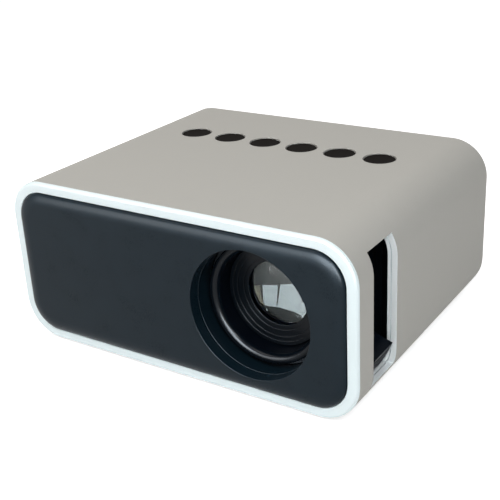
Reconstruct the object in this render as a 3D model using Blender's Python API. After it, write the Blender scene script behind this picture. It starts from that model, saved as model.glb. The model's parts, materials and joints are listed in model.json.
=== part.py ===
"""Palm-size LED video projector: a rounded sleeve, a side focus paddle and six top buttons.

Lengths are metres. X runs to the viewer's right when the lens faces them, Y runs from the
front to the rear and Z runs up. The origin lies under the middle of the outline, at the feet.
Depths are measured from the front face of the white frame, and heights from the body's base.
"""
import math

import bmesh
import bpy
from mathutils import Matrix, Vector

MM = 0.001

# Clearances
SEAT = 0.3 * MM
SLIP = 0.3 * MM
JOINT = 0.2 * MM
OVERRUN = 1.0 * MM
BITE = 0.5 * MM
MERGE_DISTANCE = 0.001 * MM

# Facets
CORNER_STEPS = 6
LARGE_STEPS = 32
MIDDLE_STEPS = 20
SMALL_STEPS = 14
TINY_STEPS = 10
ARC_STEPS = 3
SMOOTH_ANGLE = math.radians(35)

# Body
BODY_WIDTH = 132.0 * MM
BODY_HEIGHT = 58.4 * MM
BODY_DEPTH = 104.8 * MM
CORNER_RADIUS = 13.4 * MM
SLEEVE_WALL = 1.9 * MM
REAR_ROUNDING = 2.7 * MM
REAR_RIM = 5.0 * MM
REAR_RIM_DEPTH = 3.0 * MM
FOOT_PROUD = 1.0 * MM

# Front frame and its liner
FRAME_BAND = 1.2 * MM
FRAME_ROUNDING = 1.0 * MM
FRAME_MARGIN = 3.45 * MM
FRAME_LIP = 0.4 * MM
OPENING_CORNER = 10.6 * MM
LINER_WALL = 1.1 * MM
LINER_DEPTH = 32.0 * MM
LEDGE_WIDTH = 1.8 * MM
LEDGE_THICKNESS = 1.6 * MM

# Front panel
PANEL_PROUD = 1.5 * MM
PANEL_ROLL = 4.6 * MM
PANEL_BACK = 2.3 * MM
LENS_INSET = 35.8 * MM
LENS_HOLE_RADIUS = 21.4 * MM
LENS_HOLE_DEPTH = 3.1 * MM
LENS_HOLE_ROUNDING = 0.5 * MM
COLLAR_UNDERCUT = 0.8 * MM
COLLAR_WALL = 1.4 * MM
COLLAR_DEPTH = 10.7 * MM

# Focus slot in the right wall
SLOT_BEFORE_RING = 2.6 * MM
SLOT_BEHIND_RING = 1.6 * MM
SLOT_DROP = 20.7 * MM
SLOT_TOP_INSET = 6.2 * MM
SLOT_REACH = 9.5 * MM

# Rear cover
COVER_SUNK = 0.8 * MM
COVER_PLATE = 2.0 * MM
COVER_FLANGE = 1.2 * MM
COVER_EDGE = 0.4 * MM
COVER_POCKET_MARGIN = 8.0 * MM
VENT_COUNT = 9
VENT_WIDTH = 2.2 * MM
VENT_PITCH = 4.2 * MM
VENT_HEIGHT = 34.0 * MM

# Intake slots in the left wall
INTAKE_COUNT = 7
INTAKE_WIDTH = 2.0 * MM
INTAKE_PITCH = 4.6 * MM
INTAKE_HEIGHT = 22.0 * MM
INTAKE_REAR_INSET = 42.8 * MM

# Feet, tripod insert and speaker slots in the base
FOOT_RADIUS = 5.0 * MM
FOOT_RECESS = 0.6 * MM
FOOT_ROUNDING = 0.4 * MM
FOOT_INSET_X = 19.5 * MM
FOOT_FRONT = 15.0 * MM
FOOT_REAR_INSET = 13.8 * MM
TRIPOD_SHARE = 0.3548
TRIPOD_BORE_RADIUS = 3.175 * MM
TRIPOD_BODY_RADIUS = 5.0 * MM
TRIPOD_FLANGE_RADIUS = 6.3 * MM
TRIPOD_FLANGE = 0.8 * MM
TRIPOD_LENGTH = 8.2 * MM
TRIPOD_BOSS_WALL = 2.0 * MM
SOUND_SLOT_COUNT = 5
SOUND_SLOT_WIDTH = 1.6 * MM
SOUND_SLOT_PITCH = 3.6 * MM
SOUND_SLOT_LENGTH = 17.0 * MM

# Top buttons and their board
BUTTON_COUNT = 6
BUTTON_RADIUS = 5.45 * MM
BUTTON_PITCH = 15.36 * MM
BUTTON_ROW_X = 0.6 * MM
BUTTON_ROW_SHARE = 0.6712
BUTTON_SUNK = 0.25 * MM
BUTTON_EDGE = 0.5 * MM
BUTTON_FLANGE_WIDTH = 1.3 * MM
BUTTON_FLANGE = 0.9 * MM
BUTTON_STEM_RADIUS = 2.0 * MM
BUTTON_STEM = 0.3 * MM
BUTTON_FREE_PLAY = 0.75 * MM
SWITCH_SIZE = 6.0 * MM
SWITCH_BODY = 1.3 * MM
SWITCH_PLUNGER_RADIUS = 1.7 * MM
SWITCH_PLUNGER = 0.6 * MM
KEY_BOARD_THICKNESS = 1.2 * MM
KEY_BOARD_END = 13.25 * MM
KEY_BOARD_DEPTH = 11.5 * MM
KEY_BOSS_RADIUS = 2.5 * MM
KEY_BOSS_INSET = 3.1 * MM
KEY_SCREW_RADIUS = 1.0 * MM
KEY_SCREW_HEAD_RADIUS = 2.0 * MM
KEY_SCREW_HEAD = 0.8 * MM
KEY_SCREW_LENGTH = 4.0 * MM

# Lens mount, the fixed guide tube
MOUNT_BORE_RADIUS = 18.8 * MM
MOUNT_WALL = 1.5 * MM
MOUNT_FRONT = 10.2 * MM
CLIP_GROOVE_FRONT = 11.2 * MM
CLIP_GROOVE_DEPTH = 0.6 * MM
CLIP_THICKNESS = 0.8 * MM
CLIP_WIDTH = 2.2 * MM
CLIP_MOUTH = 6.0 * MM
MOUNT_COLLAR_WIDTH = 2.3 * MM
MOUNT_COLLAR_LENGTH = 1.6 * MM
MOUNT_FLANGE = 2.4 * MM
MOUNT_FLANGE_MARGIN_X = 2.0 * MM
MOUNT_FLANGE_MARGIN_Z = 0.6 * MM

# Focus ring and paddle
RING_LENGTH = 11.9 * MM
RING_WALL = 2.6 * MM
PADDLE_INSET = 0.57 * MM
PADDLE_TOP_ANGLE = math.radians(-19.6)
PADDLE_BOTTOM_ANGLE = math.radians(-32.3)
PADDLE_RIDGES = 5
PADDLE_RIDGE_HEIGHT = 0.45 * MM
PADDLE_RIDGE_SHARE = 0.6
FOCUS_ANGLE = math.radians(50)
FOCUS_TRAVEL = 4.0 * MM
PIN_ANGLES = tuple(math.radians(angle) for angle in (90, 210, 330))
PIN_DEPTH = 21.0 * MM
PIN_RADIUS = 1.2 * MM
GROOVE_DEPTH = 1.4 * MM
GROOVE_STEPS = 10

# Barrel and glass
BARREL_SLIP = 0.4 * MM
BARREL_FRONT = 7.4 * MM
BARREL_REAR = 33.0 * MM
BARREL_WALL = 0.9 * MM
BARREL_BEZEL_WIDTH = 2.0 * MM
BARREL_BEZEL = 2.5 * MM
BARREL_BEZEL_EDGE = 0.5 * MM
BARREL_FUNNEL = 1.9 * MM
STOP_WIDTH = 3.2 * MM
STOP_THICKNESS = 2.0 * MM
FRONT_LENS_RADIUS = 14.0 * MM
FRONT_LENS_EDGE_DEPTH = 18.1 * MM
FRONT_LENS_EDGE = 2.6 * MM
FRONT_LENS_CURVE = 28.0 * MM
REAR_GLASS_RADIUS = 13.9 * MM
MIDDLE_LENS_EDGE = 2.2 * MM
MIDDLE_LENS_HOLLOW = 0.8 * MM
REAR_LENS_EDGE = 3.7 * MM
REAR_LENS_HOLLOW = 5.6 * MM
REAR_LENS_BULGE = 3.2 * MM
RETAINER_FRONT = 14.2 * MM
RETAINER_REAR = 17.6 * MM
RETAINER_EDGE = 1.4 * MM
RETAINER_STEP_WIDTHS = (1.4 * MM, 2.1 * MM, 1.4 * MM)
RETAINER_STEP_HEIGHT = 0.5 * MM

# Optical engine
ENGINE_HALF_WIDTH = 25.0 * MM
ENGINE_HALF_HEIGHT = 20.0 * MM
ENGINE_FRONT = 38.3 * MM
ENGINE_LENGTH_SHARE = 0.6685
ENGINE_WALL = 1.8 * MM
ENGINE_LID = 1.6 * MM
ENGINE_WINDOW_RADIUS = 16.0 * MM
GROOVE_BITE = 0.6 * MM
FRONT_FRESNEL_SHARE = 0.2577
LCD_SHARE = 0.367
REAR_FRESNEL_SHARE = 0.5238
FRESNEL_THICKNESS = 1.5 * MM
LCD_THICKNESS = 2.2 * MM
LCD_BEZEL = 3.0 * MM
LCD_BEZEL_DEPTH = 0.4 * MM
BULKHEAD_SHARE = 0.7927
BULKHEAD_THICKNESS = 3.8 * MM
CONDENSER_RADIUS = 15.0 * MM
CONDENSER_EDGE = 1.9 * MM
CONDENSER_CURVE = 30.0 * MM
CONDENSER_SEAT = 1.4 * MM
CONDENSER_SEAT_WIDTH = 0.6 * MM
CONDENSER_SEAT_GAP = 0.5 * MM

# Light source and cooling
LED_BOARD_HALF_WIDTH = 24.0 * MM
LED_BOARD_HALF_HEIGHT = 19.0 * MM
LED_BOARD_THICKNESS = 1.6 * MM
LED_HALF_WIDTH = 3.5 * MM
LED_HEIGHT = 1.3 * MM
SINK_HALF_WIDTH = 22.0 * MM
SINK_HALF_HEIGHT = 18.5 * MM
SINK_BASE = 3.0 * MM
FIN_COUNT = 10
FIN_THICKNESS = 1.4 * MM
FAN_HALF_WIDTH = 20.0 * MM
FAN_THICKNESS = 10.0 * MM
FAN_CORNER = 2.5 * MM
FAN_BORE_RADIUS = 18.9 * MM
FAN_HUB_RADIUS = 8.6 * MM
FAN_MOTOR_RADIUS = 9.2 * MM
FAN_STRUT_WIDTH = 3.0 * MM
FAN_STRUT_THICKNESS = 1.2 * MM
FAN_STRUT_ANGLES = tuple(math.radians(angle) for angle in (90, 210, 330))
FAN_BLADE_COUNT = 7
FAN_BLADE_THICKNESS = 0.8 * MM
FAN_BLADE_CHORD = 7.4 * MM
FAN_BLADE_TIP_GAP = 0.6 * MM
FAN_ROOT_ANGLE = math.radians(52)
FAN_TIP_ANGLE = math.radians(34)
FAN_END_PLAY = 0.6 * MM

# Chassis tray
TRAY_INSET = 12.0 * MM
TRAY_THICKNESS = 1.8 * MM
TRAY_GAP = 0.7 * MM
POST_RADIUS = 2.5 * MM
ENGINE_POST_RADIUS = 3.0 * MM
ENGINE_POST_INSET = 4.5 * MM
COLUMN_WIDTH = 7.0 * MM
COLUMN_DEPTH = 7.0 * MM
COLUMN_TOP_INSET = 7.4 * MM
REAR_SCREW_INSET = 11.9 * MM
REAR_BOSS_RADIUS = 2.8 * MM
REAR_SCREW_RADIUS = 1.1 * MM
REAR_SCREW_HEAD_RADIUS = 2.3 * MM
REAR_SCREW_HEAD = 0.8 * MM
REAR_SCREW_SUNK = 0.2 * MM
REAR_SCREW_LENGTH = 8.0 * MM

# Main board
BOARD_COLUMN_GAP = 0.6 * MM
BOARD_ENGINE_GAP = 1.2 * MM
BOARD_FRONT = 38.0 * MM
BOARD_HEIGHT = 9.0 * MM
BOARD_THICKNESS = 1.6 * MM
CHIP_SIZE = 16.0 * MM
CHIP_THICKNESS = 1.4 * MM
CHIP_EDGE = 0.4 * MM
CHIP_INSET = 26.0 * MM
CHIP_DEPTH_SHARE = 0.387
CAPACITOR_RADIUS = 4.0 * MM
CAPACITOR_HEIGHT = 11.0 * MM
CAPACITOR_INSET = 8.0 * MM
CAPACITOR_DEPTH_SHARE = 0.548

# Sockets at the rear edge of the main board
SOCKET_LENGTH = 12.8 * MM
SOCKET_EDGE = 0.6 * MM
SOCKET_GAP = 1.6 * MM
SOCKET_SUNK = 0.2 * MM
SOCKET_WALL = 0.5 * MM
SOCKET_CAVITY = 8.5 * MM
HDMI_WIDTH = 15.2 * MM
HDMI_HEIGHT = 5.8 * MM
HDMI_TONGUE = 1.6 * MM
USB_WIDTH = 14.6 * MM
USB_HEIGHT = 7.0 * MM
USB_TONGUE = 1.9 * MM
AV_WIDTH = 8.0 * MM
AV_HEIGHT = 7.0 * MM
AV_BORE_RADIUS = 1.8 * MM
POWER_WIDTH = 9.4 * MM
POWER_HEIGHT = 9.0 * MM
POWER_BORE_RADIUS = 3.1 * MM
POWER_PIN_RADIUS = 0.9 * MM
CARD_WIDTH = 14.6 * MM
CARD_HEIGHT = 2.0 * MM
CARD_WALL = 0.4 * MM

# Flat cable from the panel to the main board
RIBBON_THICKNESS = 0.3 * MM
RIBBON_REACH = 14.2 * MM
RIBBON_WIDTH = 10.0 * MM
RIBBON_TOP_INSET = 4.2 * MM
RIBBON_PLUG_HEIGHT = 3.0 * MM
RIBBON_PLUG_WALL = 1.2 * MM

# Speaker
SPEAKER_INSET = 36.0 * MM
SPEAKER_DEPTH = 19.0 * MM
SPEAKER_RADIUS = 13.0 * MM
SPEAKER_RIM = 1.6 * MM
SPEAKER_RIM_HEIGHT = 1.8 * MM
SPEAKER_BASKET = 1.0 * MM
SPEAKER_MAGNET_RADIUS = 7.0 * MM
SPEAKER_MAGNET_BASE = 4.0 * MM
SPEAKER_MAGNET_TOP = 7.5 * MM
CONE_THICKNESS = 0.5 * MM
CONE_FLAT_RADIUS = 4.5 * MM
CONE_RISE = 1.9 * MM

# Worked out from the sizes above
FRONT_Y = (PANEL_PROUD - BODY_DEPTH) / 2
LENS_X = BODY_WIDTH / 2 - LENS_INSET
LENS_HEIGHT = BODY_HEIGHT / 2
LINER_OUTER = SLEEVE_WALL + JOINT
LINER_INNER = LINER_OUTER + LINER_WALL
LEDGE_FRONT = PANEL_BACK + SEAT
PANEL_INSET = FRAME_MARGIN + SEAT
COVER_OUTER = BODY_DEPTH - COVER_SUNK
COVER_INNER = COVER_OUTER - COVER_PLATE
COVER_SHOULDER = BODY_DEPTH - REAR_RIM_DEPTH - SEAT
COVER_BACK = COVER_SHOULDER - COVER_FLANGE
INTAKE_FRONT = BODY_DEPTH - INTAKE_REAR_INSET
FOOT_REAR = BODY_DEPTH - FOOT_REAR_INSET
SPEAKER_X = SPEAKER_INSET - BODY_WIDTH / 2
TOP_INNER = BODY_HEIGHT - SLEEVE_WALL
BUTTON_ROW_DEPTH = BODY_DEPTH * BUTTON_ROW_SHARE
BUTTON_TOP = BODY_HEIGHT - BUTTON_SUNK
BUTTON_FLANGE_TOP = TOP_INNER - SEAT
BUTTON_FLANGE_BOTTOM = BUTTON_FLANGE_TOP - BUTTON_FLANGE
BUTTON_BOTTOM = BUTTON_FLANGE_BOTTOM - BUTTON_STEM
SWITCH_TOP = BUTTON_BOTTOM - BUTTON_FREE_PLAY
SWITCH_BASE = SWITCH_TOP - SWITCH_PLUNGER - SWITCH_BODY
KEY_BOARD_TOP = SWITCH_BASE - SEAT
KEY_BOARD_BASE = KEY_BOARD_TOP - KEY_BOARD_THICKNESS
KEY_BOARD_WIDTH = (BUTTON_COUNT - 1) * BUTTON_PITCH + 2 * KEY_BOARD_END
KEY_BOSS_X = KEY_BOARD_WIDTH / 2 - KEY_BOSS_INSET
MOUNT_OUTER_RADIUS = MOUNT_BORE_RADIUS + MOUNT_WALL
CLIP_FRONT = CLIP_GROOVE_FRONT + JOINT
CLIP_REAR = CLIP_FRONT + CLIP_THICKNESS
CLIP_INNER_RADIUS = MOUNT_OUTER_RADIUS - CLIP_GROOVE_DEPTH + SLIP
RING_FRONT = CLIP_REAR + JOINT + JOINT
RING_REAR = RING_FRONT + RING_LENGTH
RING_INNER_RADIUS = MOUNT_OUTER_RADIUS + SLIP
RING_OUTER_RADIUS = RING_INNER_RADIUS + RING_WALL
PADDLE_RADIUS = (LENS_INSET - PADDLE_INSET) / math.cos(PADDLE_TOP_ANGLE)
SLOT_FRONT = RING_FRONT - SLOT_BEFORE_RING
SLOT_REAR = RING_REAR + SLOT_BEHIND_RING
SLOT_BOTTOM = LENS_HEIGHT - SLOT_DROP
SLOT_TOP = BODY_HEIGHT - SLOT_TOP_INSET
MOUNT_COLLAR_FRONT = RING_REAR + SLIP
MOUNT_REAR = ENGINE_FRONT - SEAT
BARREL_RADIUS = MOUNT_BORE_RADIUS - BARREL_SLIP
BARREL_MOUTH_RADIUS = BARREL_RADIUS - BARREL_WALL
GROOVE_RADIUS = RING_INNER_RADIUS + GROOVE_DEPTH
RETAINER_SHOULDER = RETAINER_REAR + SEAT
FRONT_LENS_REAR = FRONT_LENS_EDGE_DEPTH + FRONT_LENS_EDGE
STOP_FRONT = FRONT_LENS_REAR + SEAT
STOP_REAR = STOP_FRONT + STOP_THICKNESS
MIDDLE_LENS_DEPTH = STOP_REAR + SEAT
REAR_LENS_DEPTH = MIDDLE_LENS_DEPTH + MIDDLE_LENS_EDGE + SEAT
ENGINE_BASE = LENS_HEIGHT - ENGINE_HALF_HEIGHT
ENGINE_TOP = LENS_HEIGHT + ENGINE_HALF_HEIGHT
LID_BASE = ENGINE_TOP - ENGINE_LID
TROUGH_TOP = LID_BASE - SEAT
TROUGH_FLOOR = ENGINE_BASE + ENGINE_WALL
PLATE_HALF_WIDTH = ENGINE_HALF_WIDTH - ENGINE_WALL + GROOVE_BITE
PLATE_BASE = TROUGH_FLOOR - GROOVE_BITE
PLATE_TOP = TROUGH_TOP - SEAT
FAN_REAR = COVER_INNER - SEAT
FAN_FRONT = FAN_REAR - FAN_THICKNESS
ENGINE_LENGTH = (FAN_FRONT - ENGINE_FRONT) * ENGINE_LENGTH_SHARE
ENGINE_REAR = ENGINE_FRONT + ENGINE_LENGTH
FRONT_FRESNEL_DEPTH = ENGINE_FRONT + ENGINE_LENGTH * FRONT_FRESNEL_SHARE
LCD_DEPTH = ENGINE_FRONT + ENGINE_LENGTH * LCD_SHARE
REAR_FRESNEL_DEPTH = ENGINE_FRONT + ENGINE_LENGTH * REAR_FRESNEL_SHARE
BULKHEAD_DEPTH = ENGINE_FRONT + ENGINE_LENGTH * BULKHEAD_SHARE
LED_BOARD_DEPTH = ENGINE_REAR + SEAT
SINK_DEPTH = LED_BOARD_DEPTH + LED_BOARD_THICKNESS + SEAT
SINK_REAR = FAN_FRONT - SEAT
TRAY_HALF_WIDTH = BODY_WIDTH / 2 - TRAY_INSET
TRAY_BASE = SLEEVE_WALL + SEAT
TRAY_TOP = TRAY_BASE + TRAY_THICKNESS
TRAY_FRONT = LINER_DEPTH + TRAY_GAP
TRAY_REAR = COVER_BACK - SEAT
COLUMN_TOP = BODY_HEIGHT - COLUMN_TOP_INSET
REAR_SCREW_X = BODY_WIDTH / 2 - REAR_SCREW_INSET
REAR_SCREW_HEIGHTS = (REAR_SCREW_INSET, BODY_HEIGHT - REAR_SCREW_INSET)
BOARD_LEFT = COLUMN_WIDTH / 2 + BOARD_COLUMN_GAP - REAR_SCREW_X
BOARD_RIGHT = LENS_X - ENGINE_HALF_WIDTH - BOARD_ENGINE_GAP
BOARD_REAR = TRAY_REAR
BOARD_TOP = BOARD_HEIGHT + BOARD_THICKNESS
CHIP_X = BOARD_LEFT + CHIP_INSET
CHIP_DEPTH = BOARD_FRONT + (BOARD_REAR - BOARD_FRONT) * CHIP_DEPTH_SHARE
CAPACITOR_X = BOARD_LEFT + CAPACITOR_INSET
CAPACITOR_DEPTH = BOARD_FRONT + (BOARD_REAR - BOARD_FRONT) * CAPACITOR_DEPTH_SHARE
TRIPOD_DEPTH = BOARD_FRONT + (BOARD_REAR - BOARD_FRONT) * TRIPOD_SHARE
SOCKET_BASE = BOARD_TOP + SEAT
SOCKET_REAR = COVER_OUTER - SOCKET_SUNK
SOCKET_FRONT = SOCKET_REAR - SOCKET_LENGTH
HDMI_X = BOARD_RIGHT - SOCKET_EDGE - HDMI_WIDTH / 2
USB_X = HDMI_X - HDMI_WIDTH / 2 - SOCKET_GAP - USB_WIDTH / 2
AV_X = USB_X - USB_WIDTH / 2 - SOCKET_GAP - AV_WIDTH / 2
POWER_X = AV_X - AV_WIDTH / 2 - SOCKET_GAP - POWER_WIDTH / 2
CARD_X = USB_X
CARD_BASE = BOARD_HEIGHT - SEAT - CARD_HEIGHT
RIBBON_DEPTH = LCD_DEPTH + (LCD_THICKNESS - RIBBON_THICKNESS) / 2
RIBBON_LEFT = LENS_X - ENGINE_HALF_WIDTH - RIBBON_REACH
RIBBON_TOP = ENGINE_TOP - RIBBON_TOP_INSET


def finish(name, colour, roughness, metallic=0.0, alpha=1.0):
    """One plain material."""
    material = bpy.data.materials.new(name)
    material.use_nodes = True
    shader = material.node_tree.nodes["Principled BSDF"]
    shader.inputs["Base Color"].default_value = (*colour, 1.0)
    shader.inputs["Roughness"].default_value = roughness
    shader.inputs["Metallic"].default_value = metallic
    shader.inputs["Alpha"].default_value = alpha
    return material


def at(x, depth, height):
    """The point at x, a depth behind the front frame and a height above the body's base."""
    return Vector((x, FRONT_Y + depth, FOOT_PROUD + height))


def block(low, high):
    """A box between two corners, each given as x, depth and height."""
    shape = bmesh.new()
    bmesh.ops.create_cube(shape, size=1.0)
    low, high = at(*low), at(*high)
    bmesh.ops.scale(shape, vec=high - low, verts=shape.verts)
    bmesh.ops.translate(shape, vec=(low + high) / 2, verts=shape.verts)
    return shape


def prism(points, front, rear):
    """An outline of x and height points, extruded from one depth to another."""
    shape = bmesh.new()
    face = shape.faces.new([shape.verts.new(at(x, front, height)) for x, height in points])
    raised = bmesh.ops.extrude_face_region(shape, geom=[face])["geom"]
    moved = [item for item in raised if isinstance(item, bmesh.types.BMVert)]
    bmesh.ops.translate(shape, vec=(0, rear - front, 0), verts=moved)
    return shape


def upright_prism(points, base, top):
    """An outline of x and depth points, extruded from one height to another."""
    shape = bmesh.new()
    face = shape.faces.new([shape.verts.new(at(x, depth, base)) for x, depth in points])
    raised = bmesh.ops.extrude_face_region(shape, geom=[face])["geom"]
    moved = [item for item in raised if isinstance(item, bmesh.types.BMVert)]
    bmesh.ops.translate(shape, vec=(0, 0, top - base), verts=moved)
    return shape


def spun(points, centre, axis, steps, closed):
    """Turn a line of points about an axis through centre. A closed line makes a ring."""
    shape = bmesh.new()
    verts = [shape.verts.new(point) for point in points]
    ends = verts[1:] + verts[:1] if closed else verts[1:]
    edges = [shape.edges.new(pair) for pair in zip(verts, ends)]
    bmesh.ops.spin(
        shape, geom=verts + edges, cent=centre, axis=axis, angle=math.tau, steps=steps,
        use_merge=True)
    bmesh.ops.remove_doubles(shape, verts=shape.verts, dist=MERGE_DISTANCE)
    return shape


def turned(profile, x, height, steps=LARGE_STEPS, closed=True):
    """Turn radius and depth points about the line along Y at x and height."""
    centre = at(x, 0, height)
    points = [at(x + radius, depth, height) for radius, depth in profile]
    return spun(points, centre, (0, 1, 0), steps, closed)


def upright(profile, x, depth, steps=SMALL_STEPS, closed=True):
    """Turn radius and height points about the upright line at x and depth."""
    centre = at(x, depth, 0)
    points = [at(x + radius, depth, height) for radius, height in profile]
    return spun(points, centre, (0, 0, 1), steps, closed)


def rod(x, height, radius, front, rear, steps=SMALL_STEPS):
    """A solid cylinder along Y."""
    profile = [(0, front), (radius, front), (radius, rear), (0, rear)]
    return turned(profile, x, height, steps, closed=False)


def post(x, depth, radius, base, top, steps=SMALL_STEPS):
    """A solid upright cylinder."""
    profile = [(0, base), (radius, base), (radius, top), (0, top)]
    return upright(profile, x, depth, steps, closed=False)


def rounded_outline(inset, corner):
    """The x and height points of the body's rounded outline, moved in by inset."""
    reach_x = BODY_WIDTH / 2 - inset - corner
    reach_z = BODY_HEIGHT / 2 - inset - corner
    points = []
    for quarter, (side_x, side_z) in enumerate(((1, 1), (-1, 1), (-1, -1), (1, -1))):
        for step in range(CORNER_STEPS + 1):
            angle = (quarter + step / CORNER_STEPS) * math.pi / 2
            points.append((
                side_x * reach_x + corner * math.cos(angle),
                BODY_HEIGHT / 2 + side_z * reach_z + corner * math.sin(angle)))
    return points


def swept(profile, closed):
    """Carry inset, depth and corner points round the body's outline."""
    shape = bmesh.new()
    rings = []
    for inset, depth, corner in profile:
        rings.append([shape.verts.new(at(x, depth, z)) for x, z in rounded_outline(inset, corner)])
    following = rings[1:] + rings[:1] if closed else rings[1:]
    for first, second in zip(rings, following):
        skin(shape, first, second)
    if not closed:
        shape.faces.new(rings[0])
        shape.faces.new(rings[-1])
    return shape


def skin(shape, first, second):
    """Join two rings of the same number of points with a band of faces."""
    for index in range(len(first)):
        other = (index + 1) % len(first)
        shape.faces.new((first[index], first[other], second[other], second[index]))


def lofted(sections):
    """A closed shape through sections that have the same number of points."""
    shape = bmesh.new()
    rings = [[shape.verts.new(point) for point in section] for section in sections]
    for first, second in zip(rings, rings[1:]):
        skin(shape, first, second)
    shape.faces.new(rings[0])
    shape.faces.new(rings[-1])
    return shape


def quarter_arc(steps):
    """Cosine and sine pairs over a quarter turn."""
    angles = [step * math.pi / 2 / steps for step in range(steps + 1)]
    return [(math.cos(angle), math.sin(angle)) for angle in angles]


def make(name, shapes):
    """Join separate closed shapes into one new object."""
    mesh = bpy.data.meshes.new(name)
    whole = bmesh.new()
    for shape in shapes:
        bmesh.ops.recalc_face_normals(shape, faces=shape.faces)
        shape.to_mesh(mesh)
        whole.from_mesh(mesh)
        shape.free()
    whole.to_mesh(mesh)
    whole.free()
    piece = bpy.data.objects.new(name, mesh)
    bpy.context.collection.objects.link(piece)
    return piece


def solid(name, shape, material):
    """A named piece of the projector."""
    piece = make(name, [shape])
    piece.data.materials.append(material)
    piece.data.shade_smooth()
    piece.data.set_sharp_from_angle(angle=SMOOTH_ANGLE)
    return piece


def combine(piece, operation, shapes):
    """Cut shapes out of a piece, or add them to it. The shapes lie clear of each other."""
    tool = make(f"{piece.name}_{operation.lower()}_{len(piece.modifiers)}", shapes)
    tool.hide_render = True
    tool.display_type = "WIRE"
    modifier = piece.modifiers.new(tool.name, "BOOLEAN")
    modifier.operation = operation
    modifier.object = tool
    modifier.solver = "EXACT"


def cut(piece, shapes):
    combine(piece, "DIFFERENCE", shapes)


def add(piece, shapes):
    combine(piece, "UNION", shapes)


def set_origin(piece, point):
    """Put a piece's origin at a point, with its shape left where it is."""
    piece.data.transform(Matrix.Translation(-point))
    piece.location = point


def mirrored(value):
    return -value, value


def foot_places():
    """The name, x and depth of each foot."""
    reach = BODY_WIDTH / 2 - FOOT_INSET_X
    for row, depth in (("front", FOOT_FRONT), ("rear", FOOT_REAR)):
        for side, x in (("left", -reach), ("right", reach)):
            yield f"foot_{row}_{side}", x, depth


def button_places():
    """The x of each top button, left to right."""
    first = BUTTON_ROW_X - (BUTTON_COUNT - 1) * BUTTON_PITCH / 2
    return [first + index * BUTTON_PITCH for index in range(BUTTON_COUNT)]


def focus_slot():
    """The cutter of the tall slot in the right wall."""
    outer = BODY_WIDTH / 2
    return block(
        (outer - SLOT_REACH, SLOT_FRONT, SLOT_BOTTOM), (outer + OVERRUN, SLOT_REAR, SLOT_TOP))


def sound_slots():
    """The cutters of the slots under the speaker."""
    first = SPEAKER_X - (SOUND_SLOT_COUNT - 1) * SOUND_SLOT_PITCH / 2
    half_width, half_length = SOUND_SLOT_WIDTH / 2, SOUND_SLOT_LENGTH / 2
    return [
        block(
            (x - half_width, SPEAKER_DEPTH - half_length, -OVERRUN),
            (x + half_width, SPEAKER_DEPTH + half_length, LINER_INNER + OVERRUN))
        for x in (first + index * SOUND_SLOT_PITCH for index in range(SOUND_SLOT_COUNT))]


def intake_slots():
    """The cutters of the cooling slots in the left wall."""
    outer = -BODY_WIDTH / 2
    base = (BODY_HEIGHT - INTAKE_HEIGHT) / 2
    return [
        block(
            (outer - OVERRUN, depth, base),
            (outer + SLEEVE_WALL + OVERRUN, depth + INTAKE_WIDTH, base + INTAKE_HEIGHT))
        for depth in (INTAKE_FRONT + index * INTAKE_PITCH for index in range(INTAKE_COUNT))]


def outer_sleeve(material):
    """The grey wrap-round shell, with a return rim at the rear."""
    front = FRAME_BAND + JOINT
    inner_corner = CORNER_RADIUS - SLEEVE_WALL
    rim_corner = CORNER_RADIUS - REAR_RIM
    profile = [(0, front, CORNER_RADIUS)]
    for cosine, sine in quarter_arc(ARC_STEPS):
        inset = REAR_ROUNDING * (1 - cosine)
        profile.append((inset, BODY_DEPTH - REAR_ROUNDING * (1 - sine), CORNER_RADIUS - inset))
    profile += [
        (REAR_RIM, BODY_DEPTH, rim_corner),
        (REAR_RIM, BODY_DEPTH - REAR_RIM_DEPTH, rim_corner),
        (SLEEVE_WALL, BODY_DEPTH - REAR_RIM_DEPTH, inner_corner),
        (SLEEVE_WALL, front, inner_corner)]
    sleeve = solid("outer_sleeve", swept(profile, closed=True), material)
    add(sleeve, [
        post(x, BUTTON_ROW_DEPTH, KEY_BOSS_RADIUS, KEY_BOARD_TOP + SEAT, TOP_INNER + BITE)
        for x in mirrored(KEY_BOSS_X)])
    holes = [
        post(x, BUTTON_ROW_DEPTH, BUTTON_RADIUS + SLIP, TOP_INNER - OVERRUN,
             BODY_HEIGHT + OVERRUN, MIDDLE_STEPS)
        for x in button_places()]
    pilots = [
        post(x, BUTTON_ROW_DEPTH, KEY_SCREW_RADIUS + SLIP, KEY_BOARD_TOP - OVERRUN,
             KEY_BOARD_TOP + KEY_SCREW_LENGTH, TINY_STEPS)
        for x in mirrored(KEY_BOSS_X)]
    recesses = [
        post(x, depth, FOOT_RADIUS + SLIP, -OVERRUN, FOOT_RECESS)
        for _, x, depth in foot_places()]
    insert_hole = upright([
        (0, -OVERRUN), (TRIPOD_FLANGE_RADIUS + SLIP, -OVERRUN),
        (TRIPOD_FLANGE_RADIUS + SLIP, TRIPOD_FLANGE + SEAT),
        (TRIPOD_BODY_RADIUS + SLIP, TRIPOD_FLANGE + SEAT),
        (TRIPOD_BODY_RADIUS + SLIP, SLEEVE_WALL + OVERRUN),
        (0, SLEEVE_WALL + OVERRUN)], 0, TRIPOD_DEPTH, closed=False)
    cut(sleeve, holes + pilots + recesses + intake_slots() + sound_slots()
        + [focus_slot(), insert_hole])


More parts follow.
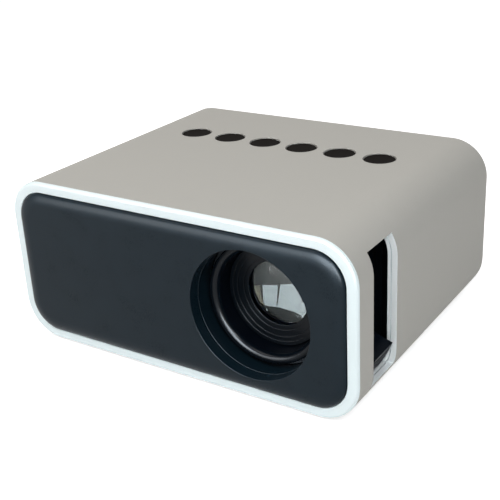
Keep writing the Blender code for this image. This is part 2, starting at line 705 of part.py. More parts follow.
def front_frame(material):
    """The white ring, the ledge behind the panel and the liner inside the sleeve."""
    ledge_inner = FRAME_MARGIN + LEDGE_WIDTH
    ledge_rear = LEDGE_FRONT + LEDGE_THICKNESS
    ledge_corner = OPENING_CORNER - LEDGE_WIDTH
    lip = FRAME_MARGIN - FRAME_LIP
    profile = []
    for cosine, sine in quarter_arc(ARC_STEPS):
        inset = FRAME_ROUNDING * (1 - sine)
        profile.append((inset, FRAME_ROUNDING * (1 - cosine), CORNER_RADIUS - inset))
    profile += [
        (0, FRAME_BAND, CORNER_RADIUS),
        (LINER_OUTER, FRAME_BAND, CORNER_RADIUS - LINER_OUTER),
        (LINER_OUTER, LINER_DEPTH, CORNER_RADIUS - LINER_OUTER),
        (LINER_INNER, LINER_DEPTH, CORNER_RADIUS - LINER_INNER),
        (LINER_INNER, ledge_rear, CORNER_RADIUS - LINER_INNER),
        (ledge_inner, ledge_rear, ledge_corner),
        (ledge_inner, LEDGE_FRONT, ledge_corner),
        (FRAME_MARGIN, LEDGE_FRONT, OPENING_CORNER),
        (FRAME_MARGIN, FRAME_LIP, OPENING_CORNER),
        (lip, 0, OPENING_CORNER + FRAME_LIP)]
    frame = solid("front_frame", swept(profile, closed=True), material)
    cut(frame, [focus_slot()] + sound_slots())


def front_panel(material):
    """The black panel with its rolled border, the lens opening and the collar behind it."""
    corner = OPENING_CORNER - SEAT
    profile = [(PANEL_INSET, PANEL_BACK, corner)]
    for cosine, sine in quarter_arc(ARC_STEPS + 1):
        inset = PANEL_ROLL * (1 - cosine)
        profile.append((PANEL_INSET + inset, -PANEL_PROUD * sine, corner - inset))
    panel = solid("front_panel", swept(profile, closed=False), material)
    inner = LENS_HOLE_RADIUS + COLLAR_UNDERCUT
    add(panel, [rod(LENS_X, LENS_HEIGHT, inner + COLLAR_WALL, 0, COLLAR_DEPTH, LARGE_STEPS)])
    mouth = [(0, -PANEL_PROUD - OVERRUN)]
    mouth.append((LENS_HOLE_RADIUS + LENS_HOLE_ROUNDING + OVERRUN, -PANEL_PROUD - OVERRUN))
    for cosine, sine in quarter_arc(ARC_STEPS):
        mouth.append((
            LENS_HOLE_RADIUS + LENS_HOLE_ROUNDING * (1 - sine),
            -PANEL_PROUD + LENS_HOLE_ROUNDING * (1 - cosine)))
    mouth += [
        (LENS_HOLE_RADIUS, LENS_HOLE_DEPTH), (inner, LENS_HOLE_DEPTH),
        (inner, COLLAR_DEPTH + OVERRUN), (0, COLLAR_DEPTH + OVERRUN)]
    cut(panel, [turned(mouth, LENS_X, LENS_HEIGHT, closed=False)])


def port_openings():
    """The cutters of the ports in the rear cover."""
    return [
        block((x - width / 2 - SLIP, COVER_BACK - OVERRUN, base - SLIP),
              (x + width / 2 + SLIP, COVER_OUTER + OVERRUN, base + height + SLIP))
        for x, width, base, height in (
            (HDMI_X, HDMI_WIDTH, SOCKET_BASE, HDMI_HEIGHT),
            (USB_X, USB_WIDTH, SOCKET_BASE, USB_HEIGHT),
            (POWER_X, POWER_WIDTH, SOCKET_BASE, POWER_HEIGHT),
            (AV_X, AV_WIDTH, SOCKET_BASE, AV_HEIGHT),
            (CARD_X, CARD_WIDTH, CARD_BASE, CARD_HEIGHT))]


def vent_openings():
    """The cutters of the exhaust slots in the rear cover."""
    first = LENS_X - (VENT_COUNT - 1) * VENT_PITCH / 2
    return [
        block((x - VENT_WIDTH / 2, COVER_BACK - OVERRUN, LENS_HEIGHT - VENT_HEIGHT / 2),
              (x + VENT_WIDTH / 2, COVER_OUTER + OVERRUN, LENS_HEIGHT + VENT_HEIGHT / 2))
        for x in (first + index * VENT_PITCH for index in range(VENT_COUNT))]


def screw_seats():
    """The cutters of the screw holes in the rear cover."""
    seat = COVER_OUTER - REAR_SCREW_SUNK - REAR_SCREW_HEAD - SEAT
    return [
        turned([
            (0, COVER_BACK - OVERRUN), (REAR_SCREW_RADIUS + SLIP, COVER_BACK - OVERRUN),
            (REAR_SCREW_RADIUS + SLIP, seat), (REAR_SCREW_HEAD_RADIUS + SLIP, seat),
            (REAR_SCREW_HEAD_RADIUS + SLIP, COVER_OUTER + OVERRUN),
            (0, COVER_OUTER + OVERRUN)], x, height, SMALL_STEPS, closed=False)
        for x, height in rear_screw_places()]


def rear_screw_places():
    return [(x, height) for x in mirrored(REAR_SCREW_X) for height in REAR_SCREW_HEIGHTS]


def rear_cover(material):
    """The black plate in the rear opening, held behind the sleeve's return rim."""
    flange = SLEEVE_WALL + SEAT
    face = REAR_RIM + SEAT
    corner = CORNER_RADIUS - face
    cover = solid("rear_cover", swept([
        (flange, COVER_BACK, CORNER_RADIUS - flange),
        (flange, COVER_SHOULDER, CORNER_RADIUS - flange),
        (face, COVER_SHOULDER, corner),
        (face, COVER_OUTER - COVER_EDGE, corner),
        (face + COVER_EDGE, COVER_OUTER, corner - COVER_EDGE)], closed=False), material)
    reach = BODY_WIDTH / 2 - COVER_POCKET_MARGIN
    cut(cover, [block(
        (-reach, COVER_BACK - OVERRUN, COVER_POCKET_MARGIN),
        (reach, COVER_INNER, BODY_HEIGHT - COVER_POCKET_MARGIN))])
    cut(cover, port_openings())
    cut(cover, vent_openings())
    cut(cover, screw_seats())


def rear_screws(material):
    """The screws through the rear cover into the tray's bosses."""
    outer = COVER_OUTER - REAR_SCREW_SUNK
    under = outer - REAR_SCREW_HEAD
    for index, (x, height) in enumerate(rear_screw_places()):
        solid(f"rear_screw_{index + 1}", turned([
            (0, outer), (REAR_SCREW_HEAD_RADIUS, outer), (REAR_SCREW_HEAD_RADIUS, under),
            (REAR_SCREW_RADIUS, under), (REAR_SCREW_RADIUS, under - REAR_SCREW_LENGTH),
            (0, under - REAR_SCREW_LENGTH)], x, height, TINY_STEPS, closed=False), material)


def chassis_tray(material):
    """The inner floor, with posts, two rear columns and bosses for the rear screws."""
    tray = solid("chassis_tray", block(
        (-TRAY_HALF_WIDTH, TRAY_FRONT, TRAY_BASE),
        (TRAY_HALF_WIDTH, TRAY_REAR, TRAY_TOP)), material)
    root = TRAY_TOP - BITE
    add(tray, [
        post(LENS_X + x, depth, ENGINE_POST_RADIUS, root, ENGINE_BASE - SEAT, TINY_STEPS)
        for x in mirrored(ENGINE_HALF_WIDTH - ENGINE_POST_INSET)
        for depth in (ENGINE_FRONT + ENGINE_POST_INSET, ENGINE_REAR - ENGINE_POST_INSET)])
    add(tray, [
        post(x, depth, POST_RADIUS, root, BOARD_HEIGHT - SEAT, TINY_STEPS)
        for x in (BOARD_LEFT + POST_RADIUS, BOARD_RIGHT - POST_RADIUS)
        for depth in (BOARD_FRONT + POST_RADIUS, SOCKET_FRONT - POST_RADIUS)])
    boss_radius = TRIPOD_BODY_RADIUS + SLIP + TRIPOD_BOSS_WALL
    add(tray, [post(0, TRIPOD_DEPTH, boss_radius, root, TRIPOD_LENGTH)])
    half = COLUMN_WIDTH / 2
    add(tray, [
        block((x - half, TRAY_REAR - COLUMN_DEPTH, root), (x + half, TRAY_REAR, COLUMN_TOP))
        for x in mirrored(REAR_SCREW_X)])
    add(tray, [
        rod(x, height, REAR_BOSS_RADIUS, TRAY_REAR - BITE, COVER_INNER - SEAT, TINY_STEPS)
        for x, height in rear_screw_places()])
    pilots = [
        rod(x, height, REAR_SCREW_RADIUS + SLIP, COVER_INNER - REAR_SCREW_LENGTH - SEAT,
            COVER_OUTER, TINY_STEPS)
        for x, height in rear_screw_places()]
    cut(tray, pilots + [post(
        0, TRIPOD_DEPTH, TRIPOD_BODY_RADIUS + SLIP, -OVERRUN, BOARD_HEIGHT)])


def feet(material):
    """The four rubber feet in their shallow recesses."""
    for name, x, depth in foot_places():
        solid(name, upright([
            (0, -FOOT_PROUD), (FOOT_RADIUS - FOOT_ROUNDING, -FOOT_PROUD),
            (FOOT_RADIUS, FOOT_ROUNDING - FOOT_PROUD), (FOOT_RADIUS, FOOT_RECESS - SEAT),
            (0, FOOT_RECESS - SEAT)], x, depth, closed=False), material)


def tripod_insert(material):
    """The metal nut in the base."""
    solid("tripod_insert", upright([
        (TRIPOD_BORE_RADIUS, 0), (TRIPOD_FLANGE_RADIUS, 0),
        (TRIPOD_FLANGE_RADIUS, TRIPOD_FLANGE), (TRIPOD_BODY_RADIUS, TRIPOD_FLANGE),
        (TRIPOD_BODY_RADIUS, TRIPOD_LENGTH), (TRIPOD_BORE_RADIUS, TRIPOD_LENGTH)],
        0, TRIPOD_DEPTH), material)


def top_buttons(material):
    """Six round push buttons with a flange under the sleeve's top."""
    flange_radius = BUTTON_RADIUS + BUTTON_FLANGE_WIDTH
    for index, x in enumerate(button_places()):
        button = solid(f"top_button_{index + 1}", upright([
            (0, BUTTON_TOP), (BUTTON_RADIUS - BUTTON_EDGE, BUTTON_TOP),
            (BUTTON_RADIUS, BUTTON_TOP - BUTTON_EDGE), (BUTTON_RADIUS, BUTTON_FLANGE_TOP),
            (flange_radius, BUTTON_FLANGE_TOP), (flange_radius, BUTTON_FLANGE_BOTTOM),
            (BUTTON_STEM_RADIUS, BUTTON_FLANGE_BOTTOM), (BUTTON_STEM_RADIUS, BUTTON_BOTTOM),
            (0, BUTTON_BOTTOM)], x, BUTTON_ROW_DEPTH, MIDDLE_STEPS, closed=False), material)
        set_origin(button, at(x, BUTTON_ROW_DEPTH, BUTTON_FLANGE_TOP))


def key_board(board_material, switch_material, screw_material):
    """The board under the buttons, its tact switches and its two screws."""
    half = KEY_BOARD_DEPTH / 2
    board = solid("key_board", block(
        (-KEY_BOARD_WIDTH / 2, BUTTON_ROW_DEPTH - half, KEY_BOARD_BASE),
        (KEY_BOARD_WIDTH / 2, BUTTON_ROW_DEPTH + half, KEY_BOARD_TOP)), board_material)
    cut(board, [
        post(x, BUTTON_ROW_DEPTH, KEY_SCREW_RADIUS + SLIP, KEY_BOARD_BASE - OVERRUN,
             KEY_BOARD_TOP + OVERRUN, TINY_STEPS)
        for x in mirrored(KEY_BOSS_X)])
    half = SWITCH_SIZE / 2
    shoulder = SWITCH_BASE + SWITCH_BODY
    for index, x in enumerate(button_places()):
        switch = solid(f"key_switch_{index + 1}", block(
            (x - half, BUTTON_ROW_DEPTH - half, SWITCH_BASE),
            (x + half, BUTTON_ROW_DEPTH + half, shoulder)), switch_material)
        add(switch, [post(
            x, BUTTON_ROW_DEPTH, SWITCH_PLUNGER_RADIUS, shoulder - BITE, SWITCH_TOP,
            TINY_STEPS)])
    under = KEY_BOARD_BASE - JOINT
    for index, x in enumerate(mirrored(KEY_BOSS_X)):
        solid(f"key_board_screw_{index + 1}", upright([
            (0, under - KEY_SCREW_HEAD), (KEY_SCREW_HEAD_RADIUS, under - KEY_SCREW_HEAD),
            (KEY_SCREW_HEAD_RADIUS, under), (KEY_SCREW_RADIUS, under),
            (KEY_SCREW_RADIUS, under + KEY_SCREW_LENGTH), (0, under + KEY_SCREW_LENGTH)],
            x, BUTTON_ROW_DEPTH, TINY_STEPS, closed=False), screw_material)


def lens_mount(material):
    """The fixed guide tube, with a clip groove, a collar and a flange on the engine."""
    outer = MOUNT_OUTER_RADIUS
    groove = outer - CLIP_GROOVE_DEPTH
    groove_rear = CLIP_REAR + JOINT
    collar_rear = MOUNT_COLLAR_FRONT + MOUNT_COLLAR_LENGTH
    mount = solid("lens_mount", turned([
        (0, MOUNT_FRONT), (outer, MOUNT_FRONT), (outer, CLIP_GROOVE_FRONT),
        (groove, CLIP_GROOVE_FRONT), (groove, groove_rear), (outer, groove_rear),
        (outer, MOUNT_COLLAR_FRONT), (outer + MOUNT_COLLAR_WIDTH, MOUNT_COLLAR_FRONT),
        (outer + MOUNT_COLLAR_WIDTH, collar_rear), (outer, collar_rear),
        (outer, MOUNT_REAR - MOUNT_FLANGE + BITE), (0, MOUNT_REAR - MOUNT_FLANGE + BITE)],
        LENS_X, LENS_HEIGHT, closed=False), material)
    reach_x = ENGINE_HALF_WIDTH - MOUNT_FLANGE_MARGIN_X
    reach_z = ENGINE_HALF_HEIGHT - MOUNT_FLANGE_MARGIN_Z
    add(mount, [block(
        (LENS_X - reach_x, MOUNT_REAR - MOUNT_FLANGE, LENS_HEIGHT - reach_z),
        (LENS_X + reach_x, MOUNT_REAR, LENS_HEIGHT + reach_z))])
    bore_end = MOUNT_REAR - MOUNT_FLANGE / 2
    cut(mount, [turned([
        (0, MOUNT_FRONT - OVERRUN), (MOUNT_BORE_RADIUS, MOUNT_FRONT - OVERRUN),
        (MOUNT_BORE_RADIUS, bore_end), (ENGINE_WINDOW_RADIUS, bore_end),
        (ENGINE_WINDOW_RADIUS, MOUNT_REAR + OVERRUN), (0, MOUNT_REAR + OVERRUN)],
        LENS_X, LENS_HEIGHT, closed=False)])
    cut(mount, [pin_slot(angle) for angle in PIN_ANGLES])


def round_axis(shape, angle):
    """Turn a shape about the lens axis. A positive angle lifts what lies at +X."""
    bmesh.ops.rotate(
        shape, cent=at(LENS_X, 0, LENS_HEIGHT), matrix=Matrix.Rotation(-angle, 3, "Y"),
        verts=shape.verts)
    return shape


def pin_slot(angle):
    """The cutter of one straight slot that keeps the barrel from turning."""
    half = PIN_RADIUS + SLIP
    return round_axis(block(
        (LENS_X + BARREL_RADIUS - OVERRUN, PIN_DEPTH - FOCUS_TRAVEL - half, LENS_HEIGHT - half),
        (LENS_X + RING_OUTER_RADIUS, PIN_DEPTH + half, LENS_HEIGHT + half)), angle)


def guide_pin(angle):
    """One pin that stands out of the barrel into the ring's groove."""
    length = GROOVE_RADIUS - SLIP - BARREL_RADIUS + OVERRUN
    shape = bmesh.new()
    bmesh.ops.create_cone(
        shape, cap_ends=True, segments=TINY_STEPS, radius1=PIN_RADIUS, radius2=PIN_RADIUS,
        depth=length)
    bmesh.ops.rotate(shape, matrix=Matrix.Rotation(math.pi / 2, 3, "Y"), verts=shape.verts)
    middle = at(LENS_X + GROOVE_RADIUS - SLIP - length / 2, PIN_DEPTH, LENS_HEIGHT)
    bmesh.ops.translate(shape, vec=middle, verts=shape.verts)
    return round_axis(shape, angle)


def ring_groove(angle):
    """The cutter of one slanted groove, which drives a pin forward as the ring turns."""
    half_width = PIN_RADIUS + SLIP
    margin = 2 * half_width / GROOVE_RADIUS
    rise = FOCUS_TRAVEL / FOCUS_ANGLE
    inner = RING_INNER_RADIUS - OVERRUN
    sections = []
    for step in range(GROOVE_STEPS + 1):
        turn = -margin + (FOCUS_ANGLE + 2 * margin) * step / GROOVE_STEPS
        depth = PIN_DEPTH - rise * turn
        corners = [
            (inner, depth - half_width), (GROOVE_RADIUS, depth - half_width),
            (GROOVE_RADIUS, depth + half_width), (inner, depth + half_width)]
        sections.append([
            at(LENS_X + radius * math.cos(angle - turn), along,
               LENS_HEIGHT + radius * math.sin(angle - turn))
            for radius, along in corners])
    return lofted(sections)


def paddle():
    """The wedge of the thumb paddle, with ridges along its outer face."""
    def polar(radius, angle):
        return LENS_X + radius * math.cos(angle), LENS_HEIGHT + radius * math.sin(angle)

    root = RING_OUTER_RADIUS - OVERRUN
    valley = PADDLE_RADIUS - PADDLE_RIDGE_HEIGHT
    sweep = (PADDLE_TOP_ANGLE - PADDLE_BOTTOM_ANGLE) / PADDLE_RIDGES
    points = []
    for index in range(PADDLE_RIDGES):
        start = PADDLE_BOTTOM_ANGLE + index * sweep
        crest = start + sweep * PADDLE_RIDGE_SHARE
        points += [polar(PADDLE_RADIUS, start), polar(PADDLE_RADIUS, crest)]
        if index < PADDLE_RIDGES - 1:
            points += [polar(valley, crest), polar(valley, start + sweep)]
    points[-1] = polar(PADDLE_RADIUS, PADDLE_TOP_ANGLE)
    points += [polar(root, PADDLE_TOP_ANGLE), polar(root, PADDLE_BOTTOM_ANGLE)]
    return prism(points, RING_FRONT, RING_REAR)


def focus_ring(material):
    """The ring that a thumb turns through the slot, with three slanted grooves inside."""
    ring = solid("focus_ring", turned([
        (RING_INNER_RADIUS, RING_FRONT), (RING_OUTER_RADIUS, RING_FRONT),
        (RING_OUTER_RADIUS, RING_REAR), (RING_INNER_RADIUS, RING_REAR)],
        LENS_X, LENS_HEIGHT), material)
    add(ring, [paddle()])
    cut(ring, [ring_groove(angle) for angle in PIN_ANGLES])
    set_origin(ring, at(LENS_X, RING_FRONT, LENS_HEIGHT))


def ring_clip(material):
    """The split ring that holds the focus ring on its tube."""
    outer = CLIP_INNER_RADIUS + CLIP_WIDTH
    clip = solid("ring_clip", turned([
        (CLIP_INNER_RADIUS, CLIP_FRONT), (outer, CLIP_FRONT), (outer, CLIP_REAR),
        (CLIP_INNER_RADIUS, CLIP_REAR)], LENS_X, LENS_HEIGHT), material)
    cut(clip, [block(
        (LENS_X - CLIP_MOUTH / 2, CLIP_FRONT - OVERRUN, LENS_HEIGHT),
        (LENS_X + CLIP_MOUTH / 2, CLIP_REAR + OVERRUN, LENS_HEIGHT + outer + OVERRUN))])


def lens_barrel(material):
    """The sliding tube that holds the glass, with a bezel, a funnelled mouth and three pins."""
    bezel = BARREL_RADIUS + BARREL_BEZEL_WIDTH
    profile = [
        (BARREL_RADIUS, BARREL_FRONT + BARREL_BEZEL), (bezel, BARREL_FRONT + BARREL_BEZEL)]
    for cosine, sine in quarter_arc(ARC_STEPS):
        profile.append((
            bezel - BARREL_BEZEL_EDGE * (1 - cosine),
            BARREL_FRONT + BARREL_BEZEL_EDGE * (1 - sine)))
    for cosine, sine in quarter_arc(ARC_STEPS + 1):
        profile.append((
            BARREL_MOUTH_RADIUS + BARREL_FUNNEL * (1 - sine),
            BARREL_FRONT + BARREL_FUNNEL * (1 - cosine)))
    seat = FRONT_LENS_RADIUS + SEAT
    stop = FRONT_LENS_RADIUS - STOP_WIDTH
    rear_bore = REAR_GLASS_RADIUS + SEAT
    profile += [
        (BARREL_MOUTH_RADIUS, RETAINER_SHOULDER), (seat, RETAINER_SHOULDER),
        (seat, STOP_FRONT), (stop, STOP_FRONT), (stop, STOP_REAR), (rear_bore, STOP_REAR),
        (rear_bore, BARREL_REAR), (BARREL_RADIUS, BARREL_REAR)]
    barrel = solid("lens_barrel", turned(profile, LENS_X, LENS_HEIGHT), material)
    add(barrel, [guide_pin(angle) for angle in PIN_ANGLES])
    set_origin(barrel, at(LENS_X, BARREL_FRONT, LENS_HEIGHT))


def sag(radius, curve):
    """How far a sphere of radius curve falls away at radius from its pole."""
    return curve - math.sqrt(curve * curve - radius * radius)


def bulge_curve(radius, bulge):
    """The sphere that rises by bulge over a disc of radius."""
    return (radius * radius + bulge * bulge) / (2 * bulge)


def glass(name, radius, front, edge, front_bulge, rear_bulge, material, steps):
    """A lens on the lens axis. A negative bulge is a hollow."""
    def face(depth, bulge, way):
        curve = bulge_curve(radius, abs(bulge))
        sign = way if bulge > 0 else -way
        shares = [step / ARC_STEPS for step in range(ARC_STEPS)]
        return [
            (radius * share, depth + sign * (abs(bulge) - sag(radius * share, curve)))
            for share in shares]

    rear = front + edge
    profile = face(front, front_bulge, -1) if front_bulge else [(0, front)]
    profile += [(radius, front), (radius, rear)]
    profile += reversed(face(rear, rear_bulge, 1) if rear_bulge else [(0, rear)])
    lens = solid(name, turned(profile, LENS_X, LENS_HEIGHT, steps, closed=False), material)
    set_origin(lens, at(LENS_X, front, LENS_HEIGHT))


def barrel_glass(material):
    """The three lenses in the barrel."""
    glass("front_lens", FRONT_LENS_RADIUS, FRONT_LENS_EDGE_DEPTH, FRONT_LENS_EDGE,
          sag(FRONT_LENS_RADIUS, FRONT_LENS_CURVE), 0, material, LARGE_STEPS)
    glass("middle_lens", REAR_GLASS_RADIUS, MIDDLE_LENS_DEPTH, MIDDLE_LENS_EDGE,
          -MIDDLE_LENS_HOLLOW, -MIDDLE_LENS_HOLLOW, material, SMALL_STEPS)
    glass("rear_lens", REAR_GLASS_RADIUS, REAR_LENS_DEPTH, REAR_LENS_EDGE,
          -REAR_LENS_HOLLOW, REAR_LENS_BULGE, material, SMALL_STEPS)


def lens_retaining_ring(material):
    """The ring that holds the front lens, with steps down to the glass."""
    outer = BARREL_MOUTH_RADIUS - SEAT
    radius = outer - RETAINER_EDGE
    depth = RETAINER_FRONT
    profile = [(outer, depth), (radius, depth)]
    for width in RETAINER_STEP_WIDTHS:
        depth += RETAINER_STEP_HEIGHT
        profile += [(radius, depth), (radius - width, depth)]
        radius -= width
    profile += [
        (radius, depth + RETAINER_STEP_HEIGHT), (FRONT_LENS_RADIUS, RETAINER_REAR),
        (outer, RETAINER_REAR)]
    ring = solid("lens_retaining_ring", turned(profile, LENS_X, LENS_HEIGHT), material)
    set_origin(ring, at(LENS_X, RETAINER_FRONT, LENS_HEIGHT))


def plate(half_width, depth, thickness, base, top):
    """An upright plate across the light path."""
    return block(
        (LENS_X - half_width, depth, base), (LENS_X + half_width, depth + thickness, top))


def optical_plates():
    """The name, depth and thickness of each plate in the engine's grooves."""
    return (
        ("front_fresnel", FRONT_FRESNEL_DEPTH, FRESNEL_THICKNESS),
        ("lcd_panel", LCD_DEPTH, LCD_THICKNESS),
        ("rear_fresnel", REAR_FRESNEL_DEPTH, FRESNEL_THICKNESS))


def engine_trough(material):
    """The open box of the optical engine, with grooves and a bulkhead for the condenser."""
    trough = solid("engine_trough", plate(
        ENGINE_HALF_WIDTH, ENGINE_FRONT, ENGINE_REAR - ENGINE_FRONT, ENGINE_BASE,
        TROUGH_TOP), material)
    inner = ENGINE_HALF_WIDTH - ENGINE_WALL
    bulkhead_rear = BULKHEAD_DEPTH + BULKHEAD_THICKNESS
    first_front = ENGINE_FRONT + ENGINE_WALL
    cut(trough, [
        plate(inner, first_front, BULKHEAD_DEPTH - first_front, TROUGH_FLOOR,
              TROUGH_TOP + OVERRUN),
        plate(inner, bulkhead_rear, ENGINE_REAR + OVERRUN - bulkhead_rear, TROUGH_FLOOR,
              TROUGH_TOP + OVERRUN)])
    seat_depth = BULKHEAD_DEPTH + CONDENSER_SEAT
    seat_radius = CONDENSER_RADIUS - CONDENSER_SEAT_WIDTH
    bore_radius = CONDENSER_RADIUS + SEAT
    openings = [
        plate(PLATE_HALF_WIDTH + SEAT, depth - SEAT, thickness + 2 * SEAT, PLATE_BASE - SEAT,
              TROUGH_TOP + OVERRUN)
        for _, depth, thickness in optical_plates()]
    openings.append(rod(
        LENS_X, LENS_HEIGHT, ENGINE_WINDOW_RADIUS, ENGINE_FRONT - OVERRUN,
        first_front + OVERRUN, LARGE_STEPS))
    openings.append(turned([
        (0, BULKHEAD_DEPTH - OVERRUN), (seat_radius, BULKHEAD_DEPTH - OVERRUN),
        (seat_radius, seat_depth), (bore_radius, seat_depth),
        (bore_radius, bulkhead_rear + OVERRUN), (0, bulkhead_rear + OVERRUN)],
        LENS_X, LENS_HEIGHT, closed=False))
    cut(trough, openings)
    left = LENS_X - ENGINE_HALF_WIDTH
    cut(trough, [block(
        (left - OVERRUN, RIBBON_DEPTH - SEAT, RIBBON_TOP - RIBBON_WIDTH - SEAT),
        (left + ENGINE_WALL + OVERRUN, RIBBON_DEPTH + RIBBON_THICKNESS + SEAT,
         TROUGH_TOP + OVERRUN))])


def engine_lid(material):
    """The flat lid of the optical engine."""
    solid("engine_lid", plate(
        ENGINE_HALF_WIDTH, ENGINE_FRONT, ENGINE_REAR - ENGINE_FRONT, LID_BASE, ENGINE_TOP),
        material)


def engine_plates(fresnel_material, panel_material):
    """The two Fresnel plates and the framed picture panel."""
    for name, depth, thickness in optical_plates():
        is_panel = name == "lcd_panel"
        piece = solid(
            name, plate(PLATE_HALF_WIDTH, depth, thickness, PLATE_BASE, PLATE_TOP),
            panel_material if is_panel else fresnel_material)
        if is_panel:
            inner = PLATE_HALF_WIDTH - LCD_BEZEL
            low, high = PLATE_BASE + LCD_BEZEL, PLATE_TOP - LCD_BEZEL
            rear = depth + thickness - LCD_BEZEL_DEPTH
            cut(piece, [
                plate(inner, depth - OVERRUN, OVERRUN + LCD_BEZEL_DEPTH, low, high),
                plate(inner, rear, OVERRUN + LCD_BEZEL_DEPTH, low, high)])


def condenser_lens(material):
    """The thick lens in front of the light source."""
    front = BULKHEAD_DEPTH + CONDENSER_SEAT + CONDENSER_SEAT_GAP
    glass("condenser_lens", CONDENSER_RADIUS, front, CONDENSER_EDGE,
          sag(CONDENSER_RADIUS, CONDENSER_CURVE), 0, material, MIDDLE_STEPS)


def led_board(material):
    """The metal board that closes the engine, with its light source."""
    board = solid("led_board", plate(
        LED_BOARD_HALF_WIDTH, LED_BOARD_DEPTH, LED_BOARD_THICKNESS,
        LENS_HEIGHT - LED_BOARD_HALF_HEIGHT, LENS_HEIGHT + LED_BOARD_HALF_HEIGHT), material)
    add(board, [plate(
        LED_HALF_WIDTH, LED_BOARD_DEPTH - LED_HEIGHT, LED_HEIGHT + BITE,
        LENS_HEIGHT - LED_HALF_WIDTH, LENS_HEIGHT + LED_HALF_WIDTH)])


def heat_sink(material):
    """The finned block behind the light source."""
    span = 2 * SINK_HALF_WIDTH - FIN_THICKNESS
    fin_base = SINK_DEPTH + SINK_BASE
    points = [(LENS_X - SINK_HALF_WIDTH, SINK_DEPTH), (LENS_X + SINK_HALF_WIDTH, SINK_DEPTH)]
    for index in reversed(range(FIN_COUNT)):
        left = LENS_X - SINK_HALF_WIDTH + span * index / (FIN_COUNT - 1)
        right = left + FIN_THICKNESS
        if index < FIN_COUNT - 1:
            points.append((right, fin_base))
        points += [(right, SINK_REAR), (left, SINK_REAR)]
        if index:
            points.append((left, fin_base))
    solid("heat_sink", upright_prism(
        points, LENS_HEIGHT - SINK_HALF_HEIGHT, LENS_HEIGHT + SINK_HALF_HEIGHT), material)


def fan_frame(material):
    """The square frame of the exhaust fan, with its motor plate on three struts."""
    points = []
    for quarter, (side_x, side_z) in enumerate(((1, 1), (-1, 1), (-1, -1), (1, -1))):
        for step in range(ARC_STEPS + 1):
            angle = (quarter + step / ARC_STEPS) * math.pi / 2
            reach = FAN_HALF_WIDTH - FAN_CORNER
            points.append((
                LENS_X + side_x * reach + FAN_CORNER * math.cos(angle),
                LENS_HEIGHT + side_z * reach + FAN_CORNER * math.sin(angle)))
    frame = solid("fan_frame", prism(points, FAN_FRONT, FAN_REAR), material)
    cut(frame, [rod(
        LENS_X, LENS_HEIGHT, FAN_BORE_RADIUS, FAN_FRONT - OVERRUN, FAN_REAR + OVERRUN,
        LARGE_STEPS)])
    strut_front = FAN_REAR - FAN_STRUT_THICKNESS
    inner = FAN_MOTOR_RADIUS - OVERRUN
    half = FAN_STRUT_WIDTH / 2
    add(frame, [
        round_axis(block(
            (LENS_X + inner, strut_front, LENS_HEIGHT - half),
            (LENS_X + FAN_BORE_RADIUS + BITE, FAN_REAR, LENS_HEIGHT + half)), angle)
        for angle in FAN_STRUT_ANGLES])
    add(frame, [rod(
        LENS_X, LENS_HEIGHT, FAN_MOTOR_RADIUS, strut_front, FAN_REAR, SMALL_STEPS)])


def fan_blade(angle, front, rear):
    """One twisted blade, from inside the hub to the tip."""
    middle = (front + rear) / 2
    half = FAN_BLADE_THICKNESS / 2
    root = FAN_HUB_RADIUS - OVERRUN
    tip = FAN_BORE_RADIUS - FAN_BLADE_TIP_GAP
    chord = FAN_BLADE_CHORD / 2
    sections = []
    for step in range(ARC_STEPS):
        share = step / (ARC_STEPS - 1)
        radius = root + (tip - root) * share
        pitch = FAN_ROOT_ANGLE + (FAN_TIP_ANGLE - FAN_ROOT_ANGLE) * share
        section = []
        for along, across in ((-chord, -half), (chord, -half), (chord, half), (-chord, half)):
            depth = along * math.sin(pitch) + across * math.cos(pitch)
            side = along * math.cos(pitch) - across * math.sin(pitch)
            section.append(at(LENS_X + radius, middle + depth, LENS_HEIGHT + side))
        sections.append(section)
    return round_axis(lofted(sections), angle)


def fan_rotor(material):
    """The hub and blades that turn in the fan frame."""
    front = FAN_FRONT + FAN_END_PLAY
    rear = FAN_REAR - FAN_STRUT_THICKNESS - SLIP
    rotor = solid("fan_rotor", turned([
        (0, front), (FAN_HUB_RADIUS - FAN_BLADE_THICKNESS, front),
        (FAN_HUB_RADIUS, front + FAN_BLADE_THICKNESS), (FAN_HUB_RADIUS, rear), (0, rear)],
        LENS_X, LENS_HEIGHT, MIDDLE_STEPS, closed=False), material)
    add(rotor, [
        fan_blade(math.tau * index / FAN_BLADE_COUNT, front, rear)
        for index in range(FAN_BLADE_COUNT)])
    set_origin(rotor, at(LENS_X, front, LENS_HEIGHT))


